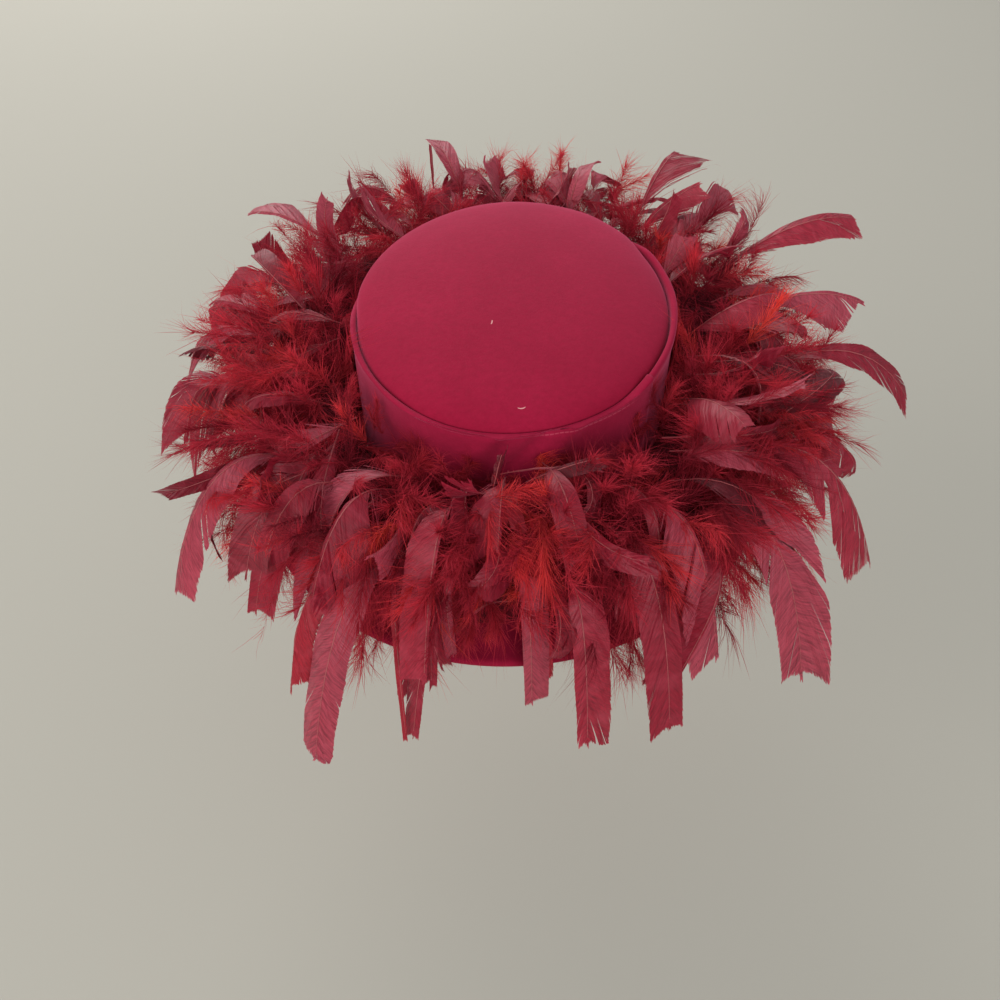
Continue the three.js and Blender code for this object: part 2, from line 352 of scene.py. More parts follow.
def add_lint(finish):
    """Each fibre is a thin oval on its own turned axes, bowed by the square of the way along it."""
    x, y, _ = finish.axes_of(finish.object_place())
    base = colour_so_far(finish)
    for spot in LINT:
        turn = math.radians(spot["turn"])
        east = (x - spot["x"] * MM) * math.cos(turn) + (y - spot["y"] * MM) * math.sin(turn)
        north = (y - spot["y"] * MM) * math.cos(turn) - (x - spot["x"] * MM) * math.sin(turn)
        bowed = north - east * east * spot["bow"]
        far = (bowed / (spot["wide"] * MM)).power(2) + (east / (spot["long"] * MM)).power(4)
        base = finish.mix(finish.ramp(far, 1.2, 0.6) * LINT_SHARE, base, LINT_COLOUR)
    finish.feed(Base_Color=base)


def add_stitches(finish):
    """A line at the seam's height, cut into stitches, on the front half only."""
    x, y, z = finish.axes_of(finish.object_place())
    across = x / MM
    begun = finish.ramp(across, SEAM_FROM, SEAM_FROM + SEAM_FADE)
    not_over = finish.ramp(across, SEAM_TO + SEAM_FADE, SEAM_TO)
    shown = begun * not_over * finish.ramp(y, 0.0, -0.02)
    line = finish.ramp((z / MM).distance(SEAM_HEIGHT), 0.45, 0.2)
    stitches = finish.ramp((across * STITCHES_A_MM).part().distance(0.5), 0.44, 0.36)
    share = shown * line * stitches * STITCH_SHARE
    finish.feed(Base_Color=finish.mix(share, colour_so_far(finish), STITCH_COLOUR))


add_lint(tip_finish)
add_stitches(band_finish)
print(len(LINT), "fibres of lint, and stitches over", SEAM_TO - SEAM_FROM, "mm of the seam")

# %% [markdown]
# ## The hat's oval plan
# Every ring of the hat follows one oval, longer from front to back and turned a little. The pieces are
# easiest to shape as round forms, and are then laid on the oval by one function, the same one
# that the CAD pieces follow, so each ends up where its solid is.

# %% Oval plan
CROWN_HALF_WIDTH = 86.0
CROWN_HALF_LENGTH = 99.5
CROWN_TURN = math.radians(-5)
OVAL_WOBBLE = 0.008
OVAL_WOBBLE_PHASE = 0.6
BAND_HEIGHT = 92.0
BAND_WALL = 2.5
TIP_EDGE_DROP = 3.0
TIP_RISE = 14.0
TIP_SHOULDER = 0.45
BRIM_WIDTH = 66.0
BRIM_THICKNESS = 3.0
BRIM_EDGE_THICKNESS = 4.6
BRIM_FALL = 6.0
BRIM_WAVE = 1.2
GAP = 0.4


def smooth_step(value, low, high):
    share = np.clip((value - low) / (high - low), 0, 1)
    return share * share * (3 - 2 * share)


def turn_between(azimuth, other):
    """Signed turn from other to azimuth, in degrees from -180 to 180."""
    return (azimuth - other + 180) % 360 - 180


def on_oval(out, azimuth, height):
    """Millimetre points on the hat: out from the axis on the round form, azimuth in degrees."""
    angle = np.radians(azimuth) - CROWN_TURN
    wobble = 1 + OVAL_WOBBLE * np.cos(3 * angle + OVAL_WOBBLE_PHASE)
    longer = (CROWN_HALF_LENGTH - CROWN_HALF_WIDTH) * np.minimum(1, out / CROWN_HALF_WIDTH)
    x = out * wobble * np.cos(angle)
    y = (out + longer) * wobble * np.sin(angle)
    turn_x = x * math.cos(CROWN_TURN) - y * math.sin(CROWN_TURN)
    turn_y = x * math.sin(CROWN_TURN) + y * math.cos(CROWN_TURN)
    return np.stack([turn_x, turn_y, height + 0 * turn_x], axis=-1)


def mesh_points(piece):
    points = np.empty(len(piece.data.vertices) * 3, np.float32)
    piece.data.vertices.foreach_get("co", points)
    return points.reshape(-1, 3).astype(float)


def set_mesh_points(piece, points):
    piece.data.vertices.foreach_set("co", np.ascontiguousarray(points, np.float32).ravel())
    piece.data.update()


def lay_on_oval(piece, shape):
    """Bends a round piece, made in millimetres, onto the oval, and leaves it in metres."""
    points = mesh_points(piece)
    out = np.hypot(points[:, 0], points[:, 1])
    azimuth = np.degrees(np.arctan2(points[:, 1], points[:, 0]))
    out, height = shape(out, azimuth, points[:, 2])
    set_mesh_points(piece, on_oval(out, azimuth, height) * MM)


def apply_modifier(piece, kind, **settings):
    modifier = piece.modifiers.new(kind.lower(), kind)
    for key, value in settings.items():
        setattr(modifier, key, value)
    bpy.context.view_layer.objects.active = piece
    bpy.ops.object.modifier_apply(modifier=modifier.name)


def finish_piece(piece, name, finish, nodes):
    """Names the piece, gives it its material and slot, and puts it in place of its CAD nodes."""
    piece.name = name
    piece.data.name = name
    piece.data.materials.clear()
    piece.data.materials.append(finish.material)
    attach(piece, "root")
    if nodes:
        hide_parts(*nodes)
    points = mesh_points(piece) / MM
    print(name, "spans in mm", points.min(0).round(), points.max(0).round())


# %% [markdown]
# ## Turned forms
# A crown, a band and a brim are all turned forms. By hand one starts from a circle and extrudes its
# edge again and again, each time scaled to the next radius and moved to the next height. Done in a
# loop over a short profile, that gives a clean ring of quads that can be subdivided.

# %% Turn a profile


def turned_form(profile, segments, closed):
    """A skin made by extruding a circle along (distance from the axis, height) rows."""
    bpy.ops.object.select_all(action="DESELECT")
    first_out, first_up = profile[0]
    bpy.ops.mesh.primitive_circle_add(
        vertices=segments, radius=first_out, location=(0, 0, 0), fill_type="NOTHING"
    )
    piece = bpy.context.active_object
    bpy.ops.object.mode_set(mode="EDIT")
    bpy.ops.mesh.select_all(action="SELECT")
    bpy.ops.transform.translate(value=(0, 0, first_up))
    out, up = first_out, first_up
    for next_out, next_up in profile[1:]:
        bpy.ops.mesh.extrude_edges_move()
        factor = next_out / out
        bpy.ops.transform.resize(value=(factor, factor, 1), center_override=(0, 0, up))
        bpy.ops.transform.translate(value=(0, 0, next_up - up))
        out, up = next_out, next_up
    bpy.ops.mesh.select_all(action="SELECT")
    bpy.ops.mesh.remove_doubles(threshold=0.001)
    if not closed:
        bpy.ops.mesh.select_all(action="SELECT")
        bpy.ops.mesh.region_to_loop()
        bpy.ops.mesh.edge_collapse()
    bpy.ops.mesh.select_all(action="SELECT")
    bpy.ops.mesh.normals_make_consistent(inside=False)
    bpy.ops.object.mode_set(mode="OBJECT")
    return piece


# %% [markdown]
# ## Crown tip
# The tip is a padded oval panel, gently domed, whose edge turns down steeply into the groove beside
# the band. A dome could be a squashed ball, but the real one is nearly flat in the middle and round
# at its shoulder, so it is turned from a profile of that shape. A few slow, shallow swellings keep it
# from looking cast.

# %% Crown tip
TIP_SEGMENTS = 72
TIP_SHARES = (0.02, 0.2, 0.4, 0.6, 0.75, 0.86, 0.93, 0.97, 0.99, 1.0)
TIP_UNDER_WALL = 2.5
TIP_SWELL = 1.1
TIP_LUMP = {"at": 58, "spread": 9, "rise": 0.9}
TIP_OVERHANG = 2.7
BACK = {"at": 110, "left": (58, 80), "right": (68, 86)}


def tip_rise(share):
    return TIP_RISE * np.maximum(0, 1 - share * share) ** TIP_SHOULDER


def tip_profile():
    radius = CROWN_HALF_WIDTH - BAND_WALL - GAP
    edge = BAND_HEIGHT - TIP_EDGE_DROP
    top = [(radius * s, edge + float(tip_rise(s))) for s in TIP_SHARES]
    inner = radius - TIP_UNDER_WALL
    under = [(min(inner * s, inner), up - TIP_UNDER_WALL) for s, (_, up) in zip(TIP_SHARES, top)]
    under[-1] = (inner, edge - TIP_UNDER_WALL)
    rim = [(radius, edge - TIP_UNDER_WALL)]
    return top + rim + under[::-1]


def at_back(azimuth):
    """1 round the back of the crown, where the tip's cloth comes over the band's edge."""
    away = turn_between(azimuth, BACK["at"])
    return 1 - smooth_step(away, *BACK["left"]) - smooth_step(-away, *BACK["right"])


def tip_swell(out, azimuth, height):
    """Slow unevenness of the padding; at the back the tip comes out over the band's edge."""
    angle = np.radians(azimuth)
    middle = 1 - np.clip(out / CROWN_HALF_WIDTH, 0, 1) ** 2
    slow = 0.5 * np.sin(2 * angle + 0.7) + 0.35 * np.sin(3 * angle - 1.1) + 0.25 * np.sin(5 * angle)
    rim = np.clip(out / CROWN_HALF_WIDTH, 0, 1) ** 4
    out = out + TIP_OVERHANG * at_back(azimuth) * smooth_step(out, 66, 83)
    away = turn_between(azimuth, TIP_LUMP["at"]) / TIP_LUMP["spread"]
    lump_here = TIP_LUMP["rise"] * np.exp(-(away ** 2)) * rim
    return out, height + (TIP_SWELL * slow * rim + lump_here) * smooth_step(middle, 0.0, 0.12)


tip = turned_form(tip_profile(), TIP_SEGMENTS, closed=False)
apply_modifier(tip, "SUBSURF", levels=2, render_levels=2)
lay_on_oval(tip, tip_swell)
tip.data.shade_smooth()
finish_piece(tip, "crown_tip_cloth", tip_finish, ["crown_tip"])

# %% [markdown]
# ## Crown band
# The band is a strip of cloth pulled round the crown. Its upper edge is folded over a cord-like welt
# that stands a little proud of the tip at the sides and sinks level with it at the front. The cloth is
# pulled slantwise, which leaves soft ridges, and its end laps over its beginning on the right.

# %% Crown band
BAND_SEGMENTS = 240
BAND_PULLS = (
    {"at": -116, "lean": 44, "spread": 3.6, "ridge": 1.3},
    {"at": -104, "lean": 50, "spread": 3.2, "ridge": -1.2},
    {"at": -90, "lean": 44, "spread": 3.8, "ridge": 1.2},
    {"at": -66, "lean": -16, "spread": 4.5, "ridge": -0.8},
    {"at": -150, "lean": 14, "spread": 8.0, "ridge": -0.6},
    {"at": 8, "lean": -10, "spread": 9.0, "ridge": 0.5},
    {"at": 96, "lean": 12, "spread": 10.0, "ridge": -0.5},
)
LAP = {"from": -70, "to": -37, "thickness": 1.5, "tab": 1.8}
LIP_OUT = 0.9
LIP_HEIGHT = 2.4
WELT_FOOT = BAND_HEIGHT - 2.6
BACK_TUCK = 5.5


def lip_share(azimuth):
    """How far the welt stands up: full on the right, less on the left, sunk at the back and front."""
    right = 1 - smooth_step(np.abs(turn_between(azimuth, 8)), 34, 62)
    left = 1 - smooth_step(np.abs(turn_between(azimuth, 190)), 34, 62)
    return 0.04 + 0.96 * right + 0.5 * left


def band_push(azimuth, height):
    along = height / BAND_HEIGHT - 0.5
    push = 0 * azimuth
    for pull in BAND_PULLS:
        away = turn_between(azimuth, pull["at"] + pull["lean"] * along) / pull["spread"]
        push = push + pull["ridge"] * np.exp(-away * away)
    before_end = turn_between(azimuth, LAP["to"]) <= 0
    rise = smooth_step(turn_between(azimuth, LAP["from"]), 0, LAP["to"] - LAP["from"])
    push = push + np.where(before_end, LAP["thickness"] * rise, 0)
    return push * smooth_step(height, 8, 30)


def band_profile():
    inner = CROWN_HALF_WIDTH - BAND_WALL
    outer = CROWN_HALF_WIDTH
    lip = outer + LIP_OUT
    top = BAND_HEIGHT + LIP_HEIGHT
    wall = [(outer, up) for up in (1.0, 10, 22, 34, 46, 56, 64, 72, 78, 84, 87.5)]
    welt = [(lip - 0.2, 89.2), (lip, 90.8), (lip, top - 1.2), (lip - 0.8, top - 0.2)]
    fold = [(lip - 1.8, top), (inner + 0.5, top - 0.5), (inner, top - 1.6), (inner, 86), (inner, 45)]
    return [(inner + 0.6, 0.0), (outer - 0.6, 0.0)] + wall + welt + fold + [(inner, 1.0), (inner + 0.6, 0.0)]


def band_shape(out, azimuth, height):
    outside = smooth_step(out, CROWN_HALF_WIDTH - 1.2, CROWN_HALF_WIDTH - 0.4)
    up = smooth_step(height, BAND_HEIGHT - 5, BAND_HEIGHT - 2)
    share = lip_share(azimuth)
    out = out + outside * band_push(azimuth, height) - outside * up * LIP_OUT * (1 - share)
    sunk = (height - WELT_FOOT) * (1 - share) * smooth_step(height, WELT_FOOT, 93)
    tucked = BACK_TUCK * at_back(azimuth) * smooth_step(height, 80, 89)
    end = turn_between(azimuth, LAP["to"])
    tab = LAP["tab"] * (end <= 0) * smooth_step(end, -16, 0) * smooth_step(height, 84, 93)
    return out, height - sunk - tucked + tab


band = turned_form(band_profile(), BAND_SEGMENTS, closed=True)
apply_modifier(band, "SUBSURF", levels=1, render_levels=1)
lay_on_oval(band, band_shape)
band.data.shade_smooth()
finish_piece(band, "crown_band_cloth", band_finish, ["crown_band"])

# %% [markdown]
# ## Brim
# The brim is a flat ring of covered felt with a wired edge, so the edge is a round bead, a little
# thicker than the rest. Only a strip of it shows between the feathers at the front, and all of it
# shows from below.

# %% Brim
BRIM_SEGMENTS = 120


def brim_top(out, azimuth):
    share = np.maximum(0, out) / BRIM_WIDTH
    wave = BRIM_WAVE * np.cos(np.radians(2 * azimuth)) * share
    return BRIM_THICKNESS - BRIM_FALL * share * share + wave


def brim_profile():
    half = BRIM_EDGE_THICKNESS / 2
    middle = BRIM_WIDTH - half
    top = [(out, 0.0) for out in (0.4, 12, 24, 36, 48, 56, 60)]
    turns = [math.radians(a) for a in (75, 45, 15, -15, -45, -75)]
    bead = [(middle + half * math.cos(a), -BRIM_THICKNESS / 2 + half * math.sin(a)) for a in turns]
    under = [(out, -BRIM_THICKNESS) for out in (60, 56, 48, 36, 24, 12, 0.4)]
    inner = [(0.0, -BRIM_THICKNESS + 0.5), (0.0, -0.5)]
    start = CROWN_HALF_WIDTH + GAP
    loop = top + bead + under + inner + [top[0]]
    return [(start + out, up) for out, up in loop]


def brim_shape(out, azimuth, height):
    return out, height + brim_top(out - CROWN_HALF_WIDTH - GAP, azimuth)


brim = turned_form(brim_profile(), BRIM_SEGMENTS, closed=True)
apply_modifier(brim, "SUBSURF", levels=1, render_levels=1)
lay_on_oval(brim, brim_shape)
brim.data.shade_smooth()
finish_piece(brim, "brim_cloth", brim_finish, ["brim"])

# %% [markdown]
# ## Many small shapes in one mesh
# Feathers are made of hundreds of thin barbs, and down of many thousands of strands. Adding each as an
# object would be slow, so their points and faces are worked out as arrays and gathered in one mesh.
# Each corner also gets a place on a map: a column for the tone of that feather, and the height along it.

# %% Gather shapes
MAP_NAME = "OFBake"
random = np.random.default_rng(1948)


class Gather:
    """Collects points, map places and faces, and makes one object of them."""

    def __init__(self):
        self.points = []
        self.places = []
        self.quads = []
        self.tris = []
        self.count = 0

    def add(self, points, places, quads, tris):
        self.points.append(points.reshape(-1, 3))
        self.places.append(places.reshape(-1, 2))
        self.quads.append(quads.reshape(-1, 4) + self.count)
        self.tris.append(tris.reshape(-1, 3) + self.count)
        self.count += points.size // 3

    def piece(self, name):
        points = np.concatenate(self.points).astype(np.float32) * MM
        places = np.concatenate(self.places).astype(np.float32)
        quads = np.concatenate(self.quads).astype(np.int32)
        tris = np.concatenate(self.tris).astype(np.int32)
        corners = np.concatenate([quads.ravel(), tris.ravel()])
        starts = np.concatenate([np.arange(len(quads)) * 4, len(quads) * 4 + np.arange(len(tris)) * 3])
        mesh = bpy.data.meshes.new(name)
        mesh.vertices.add(len(points))
        mesh.vertices.foreach_set("co", points.ravel())
        mesh.loops.add(len(corners))
        mesh.loops.foreach_set("vertex_index", corners)
        mesh.polygons.add(len(starts))
        mesh.polygons.foreach_set("loop_start", starts.astype(np.int32))
        mesh.update(calc_edges=True)
        layer = mesh.uv_layers.new(name=MAP_NAME)
        layer.data.foreach_set("uv", places[corners].ravel())
        mesh.shade_smooth()
        piece = bpy.data.objects.new(name, mesh)
        bpy.context.scene.collection.objects.link(piece)
        print(name, "has", 2 * len(quads) + len(tris), "triangles")
        return piece


def unit(vectors):
    return vectors / np.maximum(np.linalg.norm(vectors, axis=-1, keepdims=True), 1e-9)


def out_of(points):
    """Turns millimetre points back into their distance from the axis on the round form."""
    x = points[..., 0] * math.cos(CROWN_TURN) + points[..., 1] * math.sin(CROWN_TURN)
    y = points[..., 1] * math.cos(CROWN_TURN) - points[..., 0] * math.sin(CROWN_TURN)
    longer = CROWN_HALF_LENGTH - CROWN_HALF_WIDTH
    out = np.hypot(x, y)
    for _ in range(4):
        angle = np.arctan2(y / (out + longer), x / np.maximum(out, 1))
        wobble = 1 + OVAL_WOBBLE * np.cos(3 * angle + OVAL_WOBBLE_PHASE)
        plain = np.hypot(x, y * out / (out + longer))
        out = plain / wobble
    return out


def azimuth_of(points):
    return np.degrees(np.arctan2(points[..., 1], points[..., 0]))


CROWN_CLEAR = 88.2
KEEP_LOW = np.array([-188.0, -203.0, -40.0])
KEEP_HIGH = np.array([228.0, 190.0, 100.0])
DRAW_BACK = 0.75


def keep_in(points):
    """Draws back what would reach far outside the hat's box, softly, so that nothing is cut flat."""
    over = np.maximum(points - KEEP_HIGH, 0) * DRAW_BACK
    under = np.maximum(KEEP_LOW - points, 0) * DRAW_BACK
    return points - over + under


def clear_of_crown(points):
    """Pushes points that would lie in the crown straight out of its wall."""
    out = out_of(points)
    near = np.clip((CROWN_CLEAR - out) / 8, 0, 1) * (points[..., 2] < 100)
    factor = np.where(near > 0, CROWN_CLEAR / np.maximum(out, 1), 1)
    moved = points.copy()
    moved[..., 0] *= factor
    moved[..., 1] *= factor
    return keep_in(moved)


# %% [markdown]
# ## The ring's form
# The down makes a thick ring, fuller on the right and at the back. Its section at eight azimuths is
# the same as in the CAD, and everything that grows out of the ring starts from this surface.

# %% Ring form
DOWN_START = 88.4
DOWN_SECTIONS = (
    {"at": 0, "spread": 76, "height": 72},
    {"at": 45, "spread": 74, "height": 72},
    {"at": 90, "spread": 70, "height": 72},
    {"at": 135, "spread": 72, "height": 72},
    {"at": 180, "spread": 68, "height": 72},
    {"at": 225, "spread": 64, "height": 75},
    {"at": 270, "spread": 55, "height": 75},
    {"at": 315, "spread": 68, "height": 75},
)
DOWN_PROFILE = (
    (0.98, 0.22), (1.0, 0.45), (0.9, 0.68), (0.7, 0.86), (0.42, 0.97), (0.18, 1.0), (0.0, 0.94),
)


def lump(azimuth):
    return 1 + 0.035 * np.sin(np.radians(7 * azimuth) + 0.4) + 0.03 * np.sin(np.radians(12 * azimuth) + 2.1)


def ring_size(azimuth, key):
    """The ring's spread or height at any azimuth, between the stated sections."""
    turn = np.mod(azimuth, 360) / 45
    first = np.floor(turn).astype(int) % 8
    share = turn - np.floor(turn)
    share = share * share * (3 - 2 * share)
    values = np.array([row[key] for row in DOWN_SECTIONS], float)
    return values[first] * (1 - share) + values[(first + 1) % 8] * share


def ring_point(azimuth, outward, upward):
    """A point of the ring from its shares of the spread and of the height."""
    azimuth = np.asarray(azimuth, float)
    spread = ring_size(azimuth, "spread") * lump(azimuth)
    height = ring_size(azimuth, "height") * lump(azimuth + 40)
    up = BRIM_THICKNESS + (height - BRIM_THICKNESS) * upward
    return on_oval(DOWN_START + spread * outward, azimuth, up)


def ring_upper(azimuth, share):
    """A point of the ring's upper face, where share 0 is beside the crown and 1 is the outer edge."""
    outs = np.array([row[0] for row in DOWN_PROFILE if row[1] >= 0.45])[::-1]
    ups = np.array([row[1] for row in DOWN_PROFILE if row[1] >= 0.45])[::-1]
    return ring_point(azimuth, share, np.interp(share, outs, ups))


# %% [markdown]
# ## Down finish
# Down is a mass of thin strands. Each strand is painted darker where it leaves the quill: painted
# shade, for the little light that gets in there. Towards its end it is brighter, a warmer red. Some
# light passes through it, so part of the shader is translucent. The map's columns run from dark plumes to
# bright ones.

# %% Down finish
DOWN_ROOT_SHADE = 0.45


def down_finish():
    finish = Finish("down")
    column, height, _ = finish.axes_of(finish.map_place(MAP_NAME))
    stops = (
        (0.0, (0.20, 0.012, 0.024, 1)),
        (0.3, (0.40, 0.020, 0.040, 1)),
        (0.6, (0.58, 0.034, 0.058, 1)),
        (0.84, (0.74, 0.048, 0.058, 1)),
        (1.0, (0.88, 0.085, 0.060, 1)),
    )
    tone = finish.node("ShaderNodeValToRGB", {"stops": stops}, {"Fac": column})
    # Painted shade: each strand is darkened towards its root, where the down around it shades it.
    root_shaded_tone = finish.mix(1 - DOWN_ROOT_SHADE, tone, (0.04, 0.002, 0.006, 1))
    lit = finish.ramp(height, 0.0, 0.5)
    base = finish.mix(lit, root_shaded_tone, tone)
    finish.feed(Base_Color=base, Roughness=finish.ramp(height, 0, 1, 0.75, 0.6))
    finish.shader.inputs["Specular IOR Level"].default_value = 0.15
    finish.let_light_through(base, 0.5)
    return finish


down = down_finish()

# %% [markdown]
# ## Down
# A ring of down is thousands of plumes: a thin curved quill with soft strands along both its sides.
# The quills start in the ring and lean outwards, and their strands curve and part under their weight.
# Here every strand is a narrow ribbon that ends in a point. They are worked out all together as
# arrays, in eight sectors of the ring, so that no piece grows too heavy.

# %% Plumes
STRAND_STEPS = 3
STRAND_WIDTH = 0.26


def ribbons(start, heading, bend, length, width, column, low, high):
    """Many strands at once: each starts at a point, heads one way and bends another."""
    count = len(start)
    along = np.linspace(0, 1, STRAND_STEPS + 1)[None, :, None]
    centre = start[:, None] + (heading[:, None] * along + bend[:, None] * along**2) * length[:, None, None]
    centre = clear_of_crown(centre)
    across = unit(np.cross(heading, random.normal(size=(count, 3))))[:, None]
    half = width[:, None, None] * (1 - 0.45 * along[:, :-1]) / 2
    left = centre[:, :-1] - across * half
    right = centre[:, :-1] + across * half
    points = np.concatenate([left, right, centre[:, -1:]], axis=1)
    height = low[:, None] + (high - low)[:, None] * along[:, :, 0]
    sides = np.repeat(column[:, None], STRAND_STEPS, 1)
    left_map = np.stack([sides - 0.008, height[:, :-1]], -1)
    right_map = np.stack([sides + 0.008, height[:, :-1]], -1)
    end_map = np.stack([column[:, None], height[:, -1:]], -1)
    places = np.concatenate([left_map, right_map, end_map], axis=1)
    steps = np.arange(STRAND_STEPS - 1)
    one_quad = np.stack([steps, steps + STRAND_STEPS, steps + STRAND_STEPS + 1, steps + 1], -1)
    last = STRAND_STEPS - 1
    one_tri = np.array([[last, last + STRAND_STEPS, 2 * STRAND_STEPS]])
    base = np.arange(count)[:, None, None] * (2 * STRAND_STEPS + 1)
    return points, places, one_quad[None] + base, one_tri[None] + base


def add_plumes(gather, root, heading, length, column, strands):
    """Plumes: quills that start at root, with strands that leave them to both sides."""
    count = len(root)
    shape = (count, strands)
    droop = np.array([0, 0, -1.0]) * random.uniform(0.05, 0.3, (count, 1))
    sway = random.normal(size=(count, 3)) * 0.12
    flat = unit(np.cross(heading, random.normal(size=(count, 3))))
    station = random.uniform(0.02, 1, shape) ** 0.85
    place = heading[:, None] * station[..., None] + (droop + sway)[:, None] * station[..., None] ** 2
    start = root[:, None] + place * length[:, None, None]
    tangent = unit(heading[:, None] + 2 * (droop + sway)[:, None] * station[..., None])
    sign = np.where(random.random(shape) < 0.5, -1, 1)[..., None]
    other = np.cross(tangent, np.broadcast_to(flat[:, None], tangent.shape))
    lean = random.normal(0, 0.75, shape)[..., None]
    outward = unit(sign * flat[:, None] + lean * other)
    angle = np.radians(random.uniform(28, 62, shape) * (1 - 0.45 * station))[..., None]
    going = unit(tangent * np.cos(angle) + outward * np.sin(angle))
    drift = random.normal(size=(count, 1, 3)) * 0.34
    bend = tangent * 0.15 + random.normal(size=(*shape, 3)) * 0.34 + drift + np.array([0, 0, -0.2])
    reach = length[:, None] * random.uniform(0.25, 0.6, shape) * (1 - 0.3 * station)
    tone = np.clip(column[:, None] + random.normal(0, 0.05, shape), 0.02, 0.98)
    low = 0.03 + 0.25 * station + 0 * reach
    high = np.clip(low + random.uniform(0.45, 0.72, shape), 0, 0.98)
    width = STRAND_WIDTH * random.uniform(0.75, 1.25, shape)
    flat_rows = lambda values: values.reshape(count * strands, *values.shape[2:])
    values = [flat_rows(v) for v in (start, going, bend, reach, width, tone, low, high)]
    gather.add(*ribbons(*values))


# %% [markdown]
# ## Where plumes grow
# The plumes are spread evenly over the ring, each leaning the way the surface faces there, with some
# freedom. They are shorter in front, where the edge of the brim can be seen between the feathers.

# %% Places on the ring
SECTORS = 8
FRONT_GAP = {"at": -91, "spread": 9}


def radial(azimuth, rise=0.0):
    """The way straight out from the hat's axis, raised by rise."""
    angle = np.radians(azimuth)
    return np.stack([np.cos(angle), np.sin(angle), rise + 0 * azimuth], -1)


def in_front(azimuth):
    """1 at the front of the hat, 0 at its sides and back."""
    return smooth_step(-np.sin(np.radians(azimuth)), 0.1, 0.6)


def front_gap(azimuth):
    """1 in the middle of the opening at the front, 0 away from it."""
    away = turn_between(azimuth, FRONT_GAP["at"]) / FRONT_GAP["spread"]
    return np.exp(-away * away)


def surface_spot(azimuth, share):
    """A point of the ring and the way it faces, where share runs from the crown over to the foot."""
    outs = np.array([row[0] for row in DOWN_PROFILE])[::-1]
    ups = np.array([row[1] for row in DOWN_PROFILE])[::-1]
    walk = np.linspace(0, 1, len(outs))
    spot = lambda s, a: ring_point(a, np.interp(s, walk, outs), np.interp(s, walk, ups))
    here = spot(share, azimuth)
    down_slope = spot(np.clip(share + 0.02, 0, 1), azimuth) - spot(np.clip(share - 0.02, 0, 1), azimuth)
    around = spot(share, azimuth + 1) - spot(share, azimuth - 1)
    return here, unit(np.cross(down_slope, around))


# %% [markdown]
# ## Fringe
# At the foot of the ring, plumes spill over the brim's edge and hide it, all round but for the
# opening at the front. They grow from the ring's outer side and point outwards and a little down.

# %% Fringe
FRINGE_A_SECTOR = 14
STRANDS_A_FRINGE = 100
FRINGE_LENGTHS = (16, 28)
FRINGE_LONGER_IN_FRONT = 9


def add_fringe(gather, first, step):
    azimuth = first + random.uniform(0, step, FRINGE_A_SECTOR)
    azimuth = azimuth[front_gap(azimuth) < 0.3]
    count = len(azimuth)
    root = ring_point(azimuth, random.uniform(0.8, 0.98, count), random.uniform(0.1, 0.8, count))
    heading = unit(radial(azimuth, -0.3) + random.normal(size=(count, 3)) * 0.32)
    column = np.clip(0.5 + random.normal(0, 0.2, count), 0.03, 0.97)
    length = random.uniform(*FRINGE_LENGTHS, count) + FRINGE_LONGER_IN_FRONT * in_front(azimuth)
    add_plumes(gather, root, heading, length, column, STRANDS_A_FRINGE)


# %% [markdown]
# ## Tufts
# On the upper side stand longer plumes, most of them in front, where they lie over the quills of the
# flat feathers and hide them. Behind, every second one is left out, because the ring is lower there.

# %% Tufts
STRANDS_A_PLUME = 164
TUFTS_A_SECTOR = 20
TUFT_LENGTHS = (24, 40)
TUFT_RAISED = 4.0


def add_tufts(gather, first, step):
    azimuth = first + random.uniform(0, step, TUFTS_A_SECTOR)
    behind = np.sin(np.radians(azimuth)) > 0.1
    azimuth = azimuth[~behind | (np.arange(TUFTS_A_SECTOR) % 2 == 0)]
    count = len(azimuth)
    share = random.uniform(0.3, 0.95, count)
    heading = unit(radial(azimuth) * 0.8 + np.array([0, 0, 0.35]) + random.normal(size=(count, 3)) * 0.4)
    root = ring_upper(azimuth, share) + np.array([0, 0, TUFT_RAISED])
    tide = 0.24 * np.sin(np.radians(4 * azimuth + 200 * share))
    column = np.clip(0.5 + tide + random.normal(0, 0.14, count), 0.03, 0.97)
    add_plumes(gather, root, heading, random.uniform(*TUFT_LENGTHS, count), column, STRANDS_A_PLUME)


# %% [markdown]
# ## Collar
# In front, the ring's upper edge carries one more row of plumes. They fall over the bows of the long
# feathers, so that these come out of the fluff and not off its top.

# %% Collar
COLLAR_A_SECTOR = 16
COLLAR_LENGTHS = (24, 38)
COLLAR_RAISED = 12.0


def add_collar(gather, first, step):
    azimuth = first + random.uniform(0, step, COLLAR_A_SECTOR)
    azimuth = azimuth[np.sin(np.radians(azimuth)) < -0.3]
    count = len(azimuth)
    if count == 0:
        return
    heading = unit(radial(azimuth) + np.array([0, 0, 0.15]) + random.normal(size=(count, 3)) * 0.35)
    root = ring_upper(azimuth, random.uniform(0.7, 0.95, count)) + np.array([0, 0, COLLAR_RAISED])
    column = np.clip(0.48 + random.normal(0, 0.2, count), 0.03, 0.97)
    length = random.uniform(*COLLAR_LENGTHS, count) * (1 - 0.3 * front_gap(azimuth))
    add_plumes(gather, root, heading, length, column, STRANDS_A_PLUME)


# %% [markdown]
# ## The ring in eight sectors
# Each sector is one mesh: first the plumes all over the ring's surface, then its fringe, tufts and
# collar. The plumes' roots lie inside the ring, so that only their ends make its surface. Low ones
# point more downwards, and those beside the crown in front are short, to leave its wall in view.

# %% Down pieces
PLUMES_A_SECTOR = 84
PLUME_LENGTHS = (26, 46)
ROOT_DEPTH = 0.42
GOLDEN_SHARE = 0.618034


